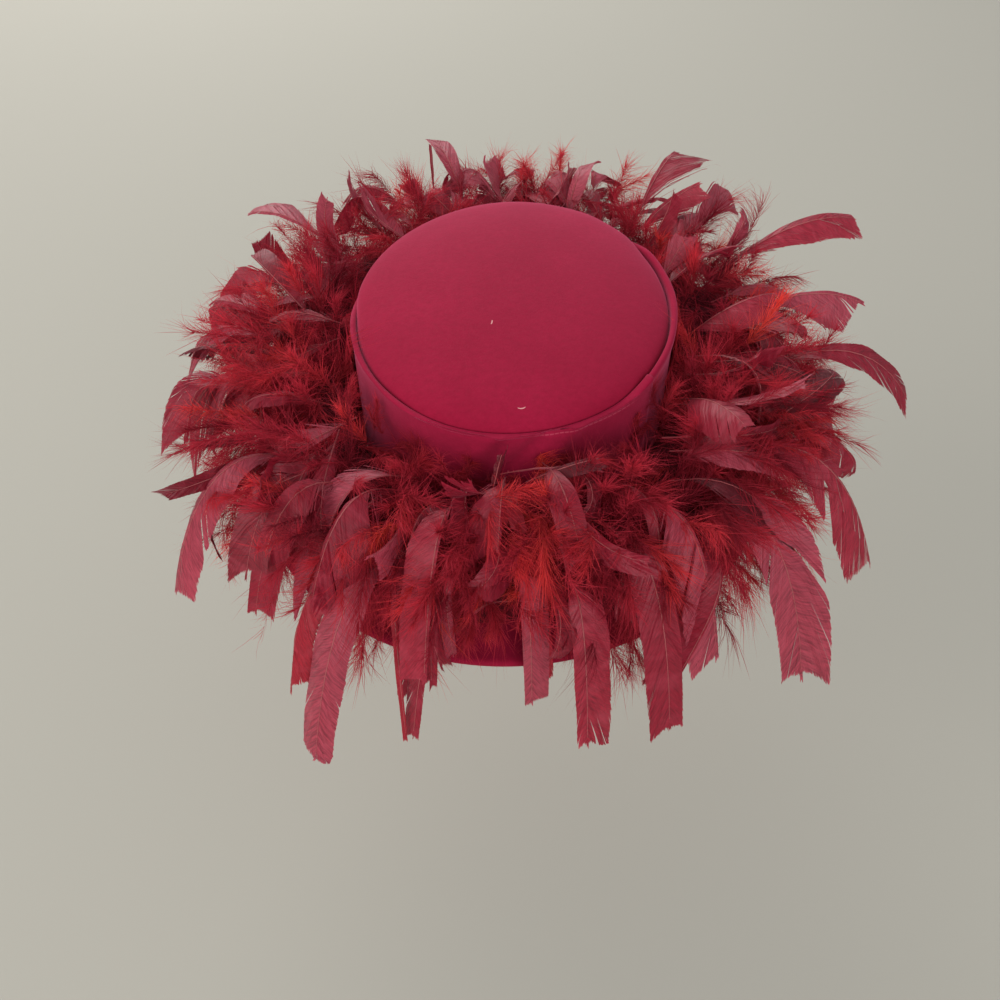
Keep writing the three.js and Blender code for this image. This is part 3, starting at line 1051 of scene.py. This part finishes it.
def down_sector(index):
    gather = Gather()
    step = 360 / SECTORS
    count = PLUMES_A_SECTOR
    azimuth = step * (index + (np.arange(count) + random.uniform(0, 1, count)) / count)
    share = ((np.arange(count) * GOLDEN_SHARE + random.uniform(0, 0.2)) % 1) ** 0.8
    low_down = smooth_step(share, 0.62, 0.95)
    spot, facing = surface_spot(azimuth, share)
    outward = np.interp(share, (0, 0.5, 1), (-0.1, 0.3, 0.5))[:, None]
    heading = unit(facing * 0.5 + radial(azimuth) * outward + random.normal(size=(count, 3)) * 0.5)
    heading[:, 2] -= 0.5 * low_down * (1 - front_gap(azimuth))
    inner = smooth_step(share, 0.35, 0.05) * in_front(azimuth)
    length = random.uniform(*PLUME_LENGTHS, count) * (1 - 0.45 * front_gap(azimuth)) * (1 - 0.45 * inner)
    length = length * (1 - 0.3 * low_down)
    root = spot - facing * (length * ROOT_DEPTH)[:, None]
    tide = 0.12 * np.sin(np.radians(5 * azimuth + 150 * share) + 2.2)
    column = np.clip(0.46 + tide + random.normal(0, 0.2, count), 0.03, 0.97)
    add_plumes(gather, root, heading, length, column, STRANDS_A_PLUME)
    add_fringe(gather, step * index, step)
    add_tufts(gather, step * index, step)
    add_collar(gather, step * index, step)
    return gather.piece("down_" + str(index + 1))


for index in range(SECTORS):
    piece = down_sector(index)
    finish_piece(piece, piece.name, down, ["feather_down"])

# %% [markdown]
# Under the plumes lies the dense bed that they grow from: stems, cut quills and matted down. Its
# colour is painted shade, nearly black, as the deep gaps of the down look. It is a low ring with a rough
# surface, seen only between the plumes.

# %% Bed of the down
BED_SHARE = 0.72
BED_FULLER = 0.1
BED_SEGMENTS = 144
# Painted shade: both colours of the bed are near black, for the shade deep in the down, mixed by a fine
# noise.
BED_PAINTED_SHADE_COLOUR = (0.035, 0.002, 0.006, 1)
BED_SHADED_STEM_COLOUR = (0.14, 0.005, 0.012, 1)
FORM_START = 100
FORM_SIZE = 60


def shaded_bed_finish():
    finish = Finish("shaded_down_bed")
    place = finish.object_place()
    fine = finish.noise(place, 380.0, 4.0, 0.7)
    finish.feed(Base_Color=finish.mix(finish.ramp(fine, 0.4, 0.7), BED_PAINTED_SHADE_COLOUR, BED_SHADED_STEM_COLOUR))
    finish.feed(Roughness=finish.ramp(fine, 0.3, 0.7, 0.8, 1.0))
    finish.feed(Normal=finish.bump(fine, 0.8, 0.002))
    finish.shader.inputs["Specular IOR Level"].default_value = 0.15
    return finish


def bed_profile():
    """A plain closed form, from which bed_shape reads the shares of the spread and of the height."""
    foot = [(0.0, 0.08), (0.5, 0.06), (0.94, 0.1)]
    loop = [(FORM_START + FORM_SIZE * out, FORM_SIZE * up) for out, up in foot + list(DOWN_PROFILE)]
    return loop + [loop[0]]


def bed_shape(out, azimuth, height):
    outward = (out - FORM_START) / FORM_SIZE
    upward = height / FORM_SIZE
    wave = 1 + 0.05 * np.sin(np.radians(31 * azimuth)) + 0.04 * np.sin(np.radians(47 * azimuth + 60 * upward))
    spread = ring_size(azimuth, "spread") * lump(azimuth) * (1 - 0.1 * front_gap(azimuth))
    high = ring_size(azimuth, "height") * lump(azimuth + 40)
    floor = brim_top(spread * outward, azimuth) + 0.6
    fuller = BED_FULLER * smooth_step(np.sin(np.radians(azimuth)), -0.4, 0.4)
    up = floor + (high * (BED_SHARE + fuller) * wave - BRIM_THICKNESS) * np.maximum(upward - 0.06, 0)
    return DOWN_START + 0.4 + spread * outward * (BED_SHARE + 0.14 + fuller), up


bed = turned_form(bed_profile(), BED_SEGMENTS, closed=True)
apply_modifier(bed, "SUBSURF", levels=1, render_levels=1)
lay_on_oval(bed, bed_shape)
bed.data.shade_smooth()
finish_piece(bed, "shaded_down_bed", shaded_bed_finish(), ["feather_down"])

# %% [markdown]
# ## Blade finish
# A dyed flat feather is satiny: its barbs lie side by side in one sheet, and light runs along them.
# The dye takes a little differently in each feather, so the map holds six tones side by side. Across
# each tone's column runs the vane, and the last part of the column is the pale rachis.

# %% Blade finish
BLADE_TONES = (
    (0.36, 0.012, 0.034, 1),
    (0.28, 0.009, 0.024, 1),
    (0.44, 0.022, 0.048, 1),
    (0.15, 0.006, 0.014, 1),
    (0.50, 0.062, 0.098, 1),
    (0.46, 0.016, 0.034, 1),
)
VANE_SHARE = 0.84


def blade_finish():
    finish = Finish("blade")
    across, along, _ = finish.axes_of(finish.map_place(MAP_NAME))
    columns = across * len(BLADE_TONES)
    local = columns.part()
    size = len(BLADE_TONES)
    stops = [(i / size, tone) for i, tone in enumerate(BLADE_TONES)]
    ramp = finish.node("ShaderNodeValToRGB", {"stops": stops}, {"Fac": columns.whole() / size + 0.02})
    ramp.socket.node.color_ramp.interpolation = "CONSTANT"
    middle = local.distance(VANE_SHARE / 2)
    lines = (along * 9 - middle * 3.2) * 9
    drawn = finish.node("ShaderNodeCombineXYZ", None, {"X": lines, "Y": columns.whole() * 3, "Z": middle * 4})
    streak = finish.noise(drawn, 2.2, 3.0, 0.65)
    blotch = finish.noise(finish.map_place(MAP_NAME), 14.0, 3.0)
    # A darker copy of the tone, used both for the barbs' streaks and for the painted shade near the quill.
    streak_and_shade_tone = finish.mix(0.55, ramp, (0.03, 0.002, 0.006, 1))
    paler = finish.mix(0.28, ramp, (0.62, 0.12, 0.17, 1))
    base = finish.mix(finish.ramp(streak, 0.32, 0.62), streak_and_shade_tone, ramp)
    base = finish.mix(finish.ramp(blotch, 0.5, 0.72) * 0.7, base, paler)
    # Painted shade: towards the quill, where the down covers it, the blade is darkened.
    base = finish.mix(finish.ramp(along, 0.3, 0.0) * 0.7, base, streak_and_shade_tone)
    rachis = finish.ramp(local, VANE_SHARE + 0.02, VANE_SHARE + 0.04)
    # The rachis is pale; near the quill it is darker, which is painted shade of the down there.
    pale = finish.mix(finish.ramp(along, 0.0, 0.5), (0.30, 0.03, 0.04, 1), (0.52, 0.14, 0.14, 1))
    base = finish.mix(rachis, base, pale)
    finish.feed(Base_Color=base)
    finish.feed(Roughness=finish.ramp(streak, 0.3, 0.7, 0.36, 0.54))
    finish.feed(Normal=finish.bump(streak, 0.3, 0.0004))
    finish.shader.inputs["Specular IOR Level"].default_value = 0.35
    finish.shader.inputs["Sheen Weight"].default_value = 0.15
    finish.shader.inputs["Sheen Roughness"].default_value = 0.4
    finish.shader.inputs["Sheen Tint"].default_value = (1.0, 0.4, 0.5, 1)
    finish.let_light_through(base, 0.28)
    return finish


blade = blade_finish()

# %% [markdown]
# ## One flat feather
# A flat feather is a rachis with a row of barbs on each side. The barbs leave it at an angle and lie
# edge to edge, so they read as one sheet, yet they part at the edge, at splits and where the end was
# cut. So each barb here is its own narrow ribbon from the rachis to the vane's edge, and the sheet
# follows a spine that curls. Near the quill the barbs are loose, like a comb.

# %% Spines
SPINE_POINTS = 22


def curved_spine(root, heading, side, length, curl, sway, twist, count=SPINE_POINTS):
    """Points and frames of a feather that bends: curl over its flat side, sway to its edge."""
    points = np.zeros((count, 3))
    sides = np.zeros((count, 3))
    normals = np.zeros((count, 3))
    along, across = unit(heading), unit(side - np.dot(side, unit(heading)) * unit(heading))
    here = np.array(root, float)
    step = length / (count - 1)
    for i in range(count):
        normal = np.cross(across, along)
        points[i], sides[i], normals[i] = here, across, normal
        grow = 2 * (i + 0.5) / count / count
        along = unit(along - normal * curl * grow + across * sway * grow)
        across = unit(across - np.dot(across, along) * along + np.cross(across, along) * twist / count)
        here = here + along * step
    return points, sides, normals


def table_spine(row, lean=0, count=SPINE_POINTS):
    """A stated feather's spine: from its root on the ring, up in a bow, out to its tip. It may sway
    to one side on the way, and its last third may curl or hook. Those at the sides lean forward."""
    root = ring_upper(row["root"], row["out"]) + np.array([0, 0, 2.4])
    angle = math.radians(row["tip"])
    tip = np.array([row["reach"] * math.cos(angle), row["reach"] * math.sin(angle), row["height"]])
    middle = root * 0.45 + tip * 0.55
    middle[2] = max(root[2], tip[2]) + row["bow"]
    t = np.linspace(0, 1, count)[:, None]
    sideways = unit(np.cross(tip - root, [0, 0, 1.0]))
    points = root * (1 - t) ** 2 + middle * 2 * t * (1 - t) + tip * t**2
    points = points + sideways * (row.get("sway", 0) * np.sin(math.pi * t) - row.get("hook", 0) * t**4)
    points[:, 2:] -= row.get("curl", 0) * smooth_step(t, 0.55, 1.0)
    tangent = unit(np.gradient(points, axis=0))
    across = unit(np.cross(tangent, [0, 0, 1.0]))
    roll = np.radians(row["roll"] + row.get("twist", 0) * t + lean * np.cos(angle) * smooth_step(t, 0.1, 0.7))
    sides = across * np.cos(roll) - np.cross(across, tangent) * np.sin(roll)
    return points, sides, unit(np.cross(sides, tangent))


def along_spine(table, share):
    """Reads a table of vectors at shares of the length, and runs on straight past its ends."""
    count = len(table) - 1
    place = np.clip(share * count, 0, count - 1e-6)
    first = np.minimum(place.astype(int), count - 1)
    part = (share * count - first)[..., None]
    return table[first] * (1 - part) + table[first + 1] * part


# %% [markdown]
# ## Barbs
# All barbs of one side are worked out at once, in the plane of the vane: where each starts, how it
# slants, how far it reaches and where the feather's cut end stops it. Where they part at a split, the
# ribbons widen outwards, so that no comb of gaps opens. Then the plane is bent along the spine.

# %% Barbs
BARB_WALK = np.array([0, 0.45, 0.92, 1.0])
LEAST_SLANT = 0.2
MOST_FAN = 1.4


def vane_width(share, narrow, end):
    """Half width along a feather as a share of its widest: narrow quill, broad vane, cut end."""
    return (narrow + (1 - narrow) * smooth_step(share, 0, 0.34)) * (1 - end * smooth_step(share, 0.66, 1))


def add_vane_side(gather, spine, sign, half, length, look):
    points, sides, normals = spine
    spacing = look["spacing"]
    count = max(6, int(length * 0.97 / spacing))
    start = (np.arange(count) + 0.5) * length / count
    share = start / length
    angle = np.radians(look["angle"]) * (1 + 0.12 * (1 - share))
    for split in look["splits"]:
        after = (share - split[0]) * length / (look["width"] * 0.35)
        angle = angle + split[1] * np.sign(after) * -0.5 * np.exp(-np.abs(after))
    loose = smooth_step(look["loose"] - share, 0, 0.12)
    angle = angle + loose * random.normal(0, 0.16, count) + random.normal(0, 0.004, count)
    angle = np.maximum(angle, LEAST_SLANT)
    outer = vane_width(np.clip(share + half / length * 0.8, 0, 1), look["narrow"], look["end"])
    reach = half * outer / np.sin(angle)
    reach = reach * (1 + loose * random.uniform(-0.25, 0.5, count))
    slope = look["slope"] * sign
    room = length - start - abs(slope) * half * 0.5
    limit = room / np.maximum(reach * (np.cos(angle) - slope * np.sin(angle)), 0.05)
    limit = np.where(np.cos(angle) - slope * np.sin(angle) <= 0, 9, limit)
    cut = limit < 1
    jag = random.uniform(-0.6, 1.4, count) * look["fray"] * spacing / np.maximum(reach, 1)
    edge = random.normal(0, 0.012, count)
    q_end = np.clip(np.where(cut, limit + jag, 1 + edge), 0.06, 1.2)
    walk = q_end[:, None] * BARB_WALK[None]
    bend = 0.16 * reach[:, None] * walk**2
    u_mid = start[:, None] + walk * reach[:, None] * np.cos(angle)[:, None] + bend * np.cos(angle)[:, None]
    v_mid = walk * reach[:, None] * np.sin(angle)[:, None]
    width = spacing * (1.5 - 1.1 * loose)
    ending = np.where(cut, 0.25 + 0.3 * (1 - look["fray"]), 0.62)
    taper = np.stack([np.ones(count), np.ones(count), 0.98 - 0.3 * loose, ending], -1)
    fan = np.abs(np.gradient(angle)) * reach / (spacing * np.sin(angle))
    fan = np.minimum(fan, MOST_FAN) * (1 - loose)
    half_width = width[:, None] * taper * (1 + fan[:, None] * walk) / 2
    twist = random.normal(0, 0.1, count)[:, None]
    lift = look["camber"] * (v_mid / max(half, 1)) ** 2 * half
    lift = lift + loose[:, None] * random.normal(0, 0.9, count)[:, None] * walk**2
    lift = lift + look["ripple"] * np.sin(u_mid / length * 21 + look["phase"]) * (v_mid / max(half, 1)) ** 2
    rows = []
    maps = []
    for edge_sign in (-1, 1):
        u = u_mid + edge_sign * half_width
        share_u = u / length
        centre = along_spine(points, share_u)
        side = along_spine(sides, share_u)
        normal = along_spine(normals, share_u)
        height = twist * edge_sign * half_width - lift
        rows.append(centre + side * (sign * v_mid)[..., None] + normal * height[..., None])
        across = 0.5 + sign * np.clip(v_mid / look["width"], 0, 0.98) * 0.48
        column = (look["tone"] + 0.02 + (VANE_SHARE - 0.04) * across) / len(BLADE_TONES)
        maps.append(np.stack([column, np.clip(0.03 + 0.94 * share_u, 0.01, 0.99)], -1))
    steps = np.arange(3)
    order = (1, 0) if sign > 0 else (0, 1)
    pair = [np.stack([rows[order[0]], rows[order[1]]], 1), np.stack([maps[order[0]], maps[order[1]]], 1)]
    quad = np.stack([steps, steps + 4, steps + 5, steps + 1], -1)[None]
    quads = quad + (np.arange(count) * 8)[:, None, None]
    gather.add(clear_of_crown(pair[0]), pair[1], quads, np.zeros((0, 3), int))


# %% [markdown]
# ## Rachis and whole feather
# The rachis is a thin tapering rod, here with three sides. It starts a little before the first barb,
# as the bare quill. A whole feather is then two sides of barbs and a rachis, and its look holds its
# own habits: how its barbs lie, where the rachis runs, how the end is cut, its splits and its tone.

# %% Rachis and whole feather
RACHIS_STEPS = 12


def add_rachis(gather, spine, thick, tone):
    points, sides, normals = spine
    share = np.linspace(-0.12, 0.97, RACHIS_STEPS + 1)
    radius = thick * (1.05 - 0.8 * np.clip(share, 0, 1))[:, None]
    centre = along_spine(points, share)
    side = along_spine(sides, share)
    normal = along_spine(normals, share)
    ring = np.stack([centre + side * radius, centre + normal * radius, centre - side * radius], 1)
    ring = ring + normal[:, None] * 0.1
    column = (tone + np.array([0.9, 0.93, 0.96])) / len(BLADE_TONES)
    height = np.clip(0.03 + 0.94 * share, 0.01, 0.99)
    places = np.stack(np.broadcast_arrays(column[None], height[:, None]), -1)
    a = (np.arange(RACHIS_STEPS) * 3)[:, None]
    k = np.arange(3)[None]
    quads = np.stack([a + k, a + (k + 1) % 3, a + 3 + (k + 1) % 3, a + 3 + k], -1)
    gather.add(clear_of_crown(ring), places, quads, np.zeros((0, 3), int))


def add_feather(gather, spine, width, look):
    look = {"width": width, **look}
    length = float(np.linalg.norm(np.diff(spine[0], axis=0), axis=1).sum())
    add_vane_side(gather, spine, 1, width * (1 - look["rachis"]), length, look)
    add_vane_side(gather, spine, -1, width * look["rachis"], length, look)
    add_rachis(gather, spine, look["quill"], look["tone"])


def some_look(**given):
    """A feather's own habits: its barbs, its cut end, its splits and its tone."""
    splits = [(random.uniform(0.3, 0.9), random.uniform(0.04, 0.16)) for _ in range(random.integers(0, 3))]
    look = {
        "tone": int(random.choice(6, p=(0.28, 0.2, 0.16, 0.12, 0.2, 0.04))),
        "splits": splits,
        "angle": random.uniform(22, 34),
        "spacing": 1.1,
        "loose": random.uniform(0.08, 0.22),
        "narrow": random.uniform(0.15, 0.4),
        "end": random.uniform(0.0, 0.35),
        "fray": random.uniform(0.1, 0.7),
        "slope": random.choice([-1, 1]) * random.uniform(0.05, 0.5),
        "camber": random.uniform(-0.1, 0.6),
        "rachis": random.choice([0.06, 0.1, 0.16, 0.3, 0.5, 0.7, 0.84, 0.9, 0.94]),
        "quill": 0.4,
        "ripple": random.uniform(0, 0.7),
        "phase": random.uniform(0, 6.3),
    }
    look.update(given)
    return look


# %% [markdown]
# ## The large feathers
# Twenty-eight large feathers stick out of the ring and make its outline. They are the ones that the
# frame holds as solids, so each has its solid's root, bow and tip. A real blade twists as it dries:
# those at the sides and back roll towards the front, and are a fifth wider than their solids.

# %% Large feathers
FEATHER_COLUMNS = ("root", "out", "tip", "reach", "height", "width", "bow", "roll", "tone")
FEATHER_ROWS = (
    (-2, 0.8, -2, 228, 30, 15, 26, -8),
    (12, 0.75, 10, 207, 64, 17, 16, 10),
    (26, 0.7, 24, 226, 84, 15, 14, -12),
    (40, 0.72, 42, 197, 62, 18, 22, 14),
    (54, 0.6, 57, 200, 84, 19, 10, -16),
    (68, 0.7, 72, 182, 60, 18, 22, 8),
    (86, 0.68, 88, 180, 62, 18, 18, -6),
    (104, 0.6, 105, 198, 80, 12, 8, 18),
    (120, 0.7, 127, 182, 60, 18, 24, -10),
    (143, 0.68, 146, 196, 76, 16, 14, 20),
    (160, 0.75, 163, 184, 34, 18, 22, -8),
    (178, 0.72, 176, 186, 44, 16, 18, 12),
    (-168, 0.75, -171, 190, 14, 18, 24, -12),
    (-146, 0.72, -147, 215, -10, 16, 30, 10, 4),
    (-130, 0.66, -133, 192, 6, 18, 26, -10),
    (-121, 0.5, -121, 186, 38, 18, 30, 8),
    (-115, 0.92, -117, 222, -45, 21, 26, 6),
    (-104, 0.5, -103, 190, 14, 14, 30, -6),
    (-101, 0.96, -105, 196, -34, 11, 18, 12),
    (-92, 0.2, -93, 150, 66, 14, 18, -10),
    (-88, 0.9, -87, 178, -20, 13, 20, 8),
    (-79, 0.95, -79, 196, -36, 19, 22, -8),
    (-80, 0.14, -79, 158, 68, 14, 18, 8),
    (-68, 0.8, -67, 202, -30, 19, 30, 6),
    (-58, 0.6, -59, 194, 4, 17, 30, -8),
    (-47, 0.8, -47, 219, -25, 30, 34, 8, 4),
    (-34, 0.7, -30, 218, 6, 15, 30, -10),
    (-18, 0.74, -17, 186, 22, 17, 22, 10),
)
FEATHERS = [dict(zip(FEATHER_COLUMNS, row)) for row in FEATHER_ROWS]
SIDE_FROM = -0.5
SIDE_LEAN = 28
SIDE_FULLER = 1.2
SIDE_TONES = (4, 0, 4, 2)
FRONT_MIDDLE = -98
FRONT_REACH = 45
FRONT_TONES = (0, 4, 2, 0)


def large_feather(number, row):
    gather = Gather()
    side = random.choice([0.1, 0.3, 0.4, 0.6, 0.7, 0.9])
    fray = random.uniform(0.1, 0.7)
    look = some_look(spacing=1.0, quill=0.45, narrow=0.3, end=0.1, fray=fray, rachis=side)
    if abs(turn_between(row["root"], FRONT_MIDDLE)) < FRONT_REACH:
        look["tone"] = FRONT_TONES[number % 4]
    fuller = 1
    if math.sin(math.radians(row["tip"])) > SIDE_FROM:
        look["tone"] = SIDE_TONES[number % 4]
        fuller = SIDE_FULLER
    look["tone"] = row.get("tone", look["tone"])
    add_feather(gather, table_spine(row, SIDE_LEAN), row["width"] * fuller, look)
    return gather.piece("blade_" + format(number, "02d"))


for number, row in enumerate(FEATHERS, 1):
    piece = large_feather(number, row)
    finish_piece(piece, piece.name, blade, ["feather_" + format(number, "02d")])

# %% [markdown]
# ## The feathers that give the front its look
# Some feathers in front are seen one by one: long satin blades whose rachis runs along one edge, an
# S-shaped one, a broad leaf, thin stripped quills, and dark curled ends against the crown. Each is
# stated in a row, like the large ones, with the side its rachis lies on, how its end is cut, and
# how it bends besides: a sway to one side, a hook or curl near the tip, and a twist.

# %% Stated front feathers
FRONT_COLUMNS = FEATHER_COLUMNS + ("rachis", "slope")
FRONT_ROWS = (
    (-119, 0.34, -122, 178, 28, 17, 22, 6, 4, 0.06, 0.2, {"sway": 9, "curl": 6}),
    (-121, 0.56, -120, 164, 40, 8, 16, 30, 0, 0.1, 0.5, {"sway": -4}),
    (-108, 0.5, -103, 177, 4, 13, 24, 4, 0, 0.94, -0.3, {"sway": 9, "hook": 5, "twist": -20}),
    (-113, 0.84, -103, 181, -2, 21, 14, -4, 0, 0.16, 0.3, {"sway": -6, "curl": 4}),
    (-101, 0.9, -100, 170, 8, 7, 8, 20, 4, 0.3, 0.6, {"sway": 3}),
    (-91, 0.98, -102, 166, 2, 9, 6, 10, 4, 0.1, 0.8, {}),
    (-123, 0.98, -123, 206, -18, 10, 12, 14, 5, 0.9, 0.7, {"sway": 3}),
    (-113, 0.98, -106, 197, -36, 3, 10, 20, 5, 0.3, 0.2, {}),
    (-101, 0.3, -92, 143, 44, 14, 12, -24, 0, 0.06, 0.6, {"sway": 10, "hook": -8}),
    (-95, 0.38, -93, 115, 96, 8, -6, 70, 3, 0.2, 0.9, {}),
    (-84, 0.24, -70, 117, 88, 7, -2, 30, 3, 0.2, 0.9, {}),
    (-92, 0.12, -70, 120, 82, 1.4, 4, 0, 4, 0.5, 0.1, {}),
    (-71, 0.72, -75, 165, 28, 15, 10, -16, 1, 0.94, -0.7, {"sway": -8, "hook": 6}),
    (-61, 0.44, -66, 168, 34, 5, 16, 24, 2, 0.1, 0.4, {"sway": -4}),
    (-52, 0.9, -67, 190, 0, 16, 16, -14, 0, 0.06, 0.3, {"sway": -14, "hook": 4, "curl": 8}),
    (-30, 0.92, -28, 182, 62, 11, 6, 26, 2, 0.16, 0.8, {"sway": 6}),
    (-49, 0.6, -40, 184, 28, 24, 22, -20, 3, 0.3, 0.5, {"sway": 5}),
    (-22, 0.66, -22, 172, 48, 22, 16, 12, 3, 0.7, 0.6, {"sway": -4}),
    (-12, 0.2, -33, 146, 62, 19, 26, -18, 1, 0.94, 0.4, {"sway": -12, "curl": 8}),
    (-168, 0.86, -162, 184, 54, 15, 20, -20, 0, 0.1, 0.7, {"sway": 12, "curl": 10}),
    (-141, 0.84, -134, 190, 30, 26, 10, 8, 1, 0.5, 0.5, {}),
    (-90, 0.96, -86, 174, -14, 9, 10, 12, 5, 0.9, 0.6, {"sway": -3}),
    (119, 0.6, 131, 176, 62, 12, 34, 30, 0, 0.1, 0.6, {"sway": -14, "curl": 12}),
    (111, 0.7, 108, 166, 95, 2.5, 0, 40, 0, 0.5, 0.2, {}),
    (28, 0.7, 33, 163, 93, 16, 6, 50, 4, 0.16, 0.1, {"sway": 6}),
)
FRONT_FEATHERS = [{**dict(zip(FRONT_COLUMNS, row)), **row[-1]} for row in FRONT_ROWS]


def add_stated(gather, row, **given):
    look = some_look(**given)
    look.update({key: row[key] for key in ("tone", "rachis", "slope")})
    add_feather(gather, table_spine(row), row["width"], look)


front = Gather()
for row in FRONT_FEATHERS:
    add_stated(front, row, spacing=0.9, quill=0.36, fray=0.3, narrow=0.3, end=0.15, loose=0.1)
piece = front.piece("front_feathers")
finish_piece(piece, piece.name, blade, [])

# %% [markdown]
# ## The smaller feathers
# Between the large ones lie many smaller feathers, 36 to 70 mm long. Those near the crown stand up
# and lean over, and those lower down hang outwards. Most curl down, some curl back or sideways. Each
# sector of the ring gets its own mesh of them.

# %% Smaller feathers
SMALL_A_SECTOR = (20, 20, 19, 19, 16, 5, 4, 11)
LOW_LIMIT = np.array([-190.0, -206.0, -50.0])
HIGH_LIMIT = np.array([231.0, 195.0, 106.0])
SMALL_LENGTHS = (36, 70)
SMALL_WIDTHS = (9, 20)
TONES_BEHIND = (4, 4, 0, 2)
TRIES_A_FEATHER = 6


def small_feather(gather, azimuth):
    share = random.uniform(0.08, 1.0)
    root = ring_upper(azimuth, share)
    turn = math.radians(azimuth + random.normal(0, 30))
    lift = math.radians(44 * (1 - share) - 8 + random.normal(0, 16))
    heading = np.array([math.cos(turn) * math.cos(lift), math.sin(turn) * math.cos(lift), math.sin(lift)])
    side = np.cross(heading, [0, 0, 1.0])
    roll = math.radians(random.normal(0, 28))
    side = side * math.cos(roll) + np.cross(side, heading) * math.sin(roll)
    behind = smooth_step(math.sin(math.radians(azimuth)), -0.2, 0.8)
    length = random.uniform(*SMALL_LENGTHS) * (1 - 0.35 * front_gap(azimuth)) * (1 - 0.25 * behind)
    curl = math.radians(random.choice([1, 1, 1, 1, -0.6]) * random.uniform(40, 130))
    sway = math.radians(random.normal(0, 24))
    twist = math.radians(random.normal(0, 40))
    spine = curved_spine(root - heading * 7, heading, side, length, curl, sway, twist)
    inside = np.all((spine[0] > LOW_LIMIT + 4) & (spine[0] < HIGH_LIMIT - 4))
    out = out_of(spine[0])
    sunk = np.any((out < CROWN_CLEAR + 5) & (spine[0][:, 2] < 104))
    below = spine[0][:, 2] < brim_top(out - CROWN_HALF_WIDTH, azimuth) + 3
    through = np.any(below & (out < CROWN_HALF_WIDTH + BRIM_WIDTH + 3))
    covers = np.any((front_gap(azimuth_of(spine[0])) > 0.4) & (spine[0][:, 2] < 24))
    if not inside or sunk or through or covers:
        return False
    look = some_look()
    if behind > 0.5:
        look["tone"] = int(random.choice(TONES_BEHIND))
    add_feather(gather, spine, random.uniform(*SMALL_WIDTHS), look)
    return True


def small_sector(index):
    gather = Gather()
    step = 360 / SECTORS
    made = 0
    for _ in range(SMALL_A_SECTOR[index] * TRIES_A_FEATHER):
        if made < SMALL_A_SECTOR[index]:
            made += small_feather(gather, step * (index + random.uniform(0, 1)))
    print("sector", index + 1, "has", made, "smaller feathers")
    return gather.piece("small_feathers_" + str(index + 1))


for index in range(SECTORS):
    piece = small_sector(index)
    finish_piece(piece, piece.name, blade, [])
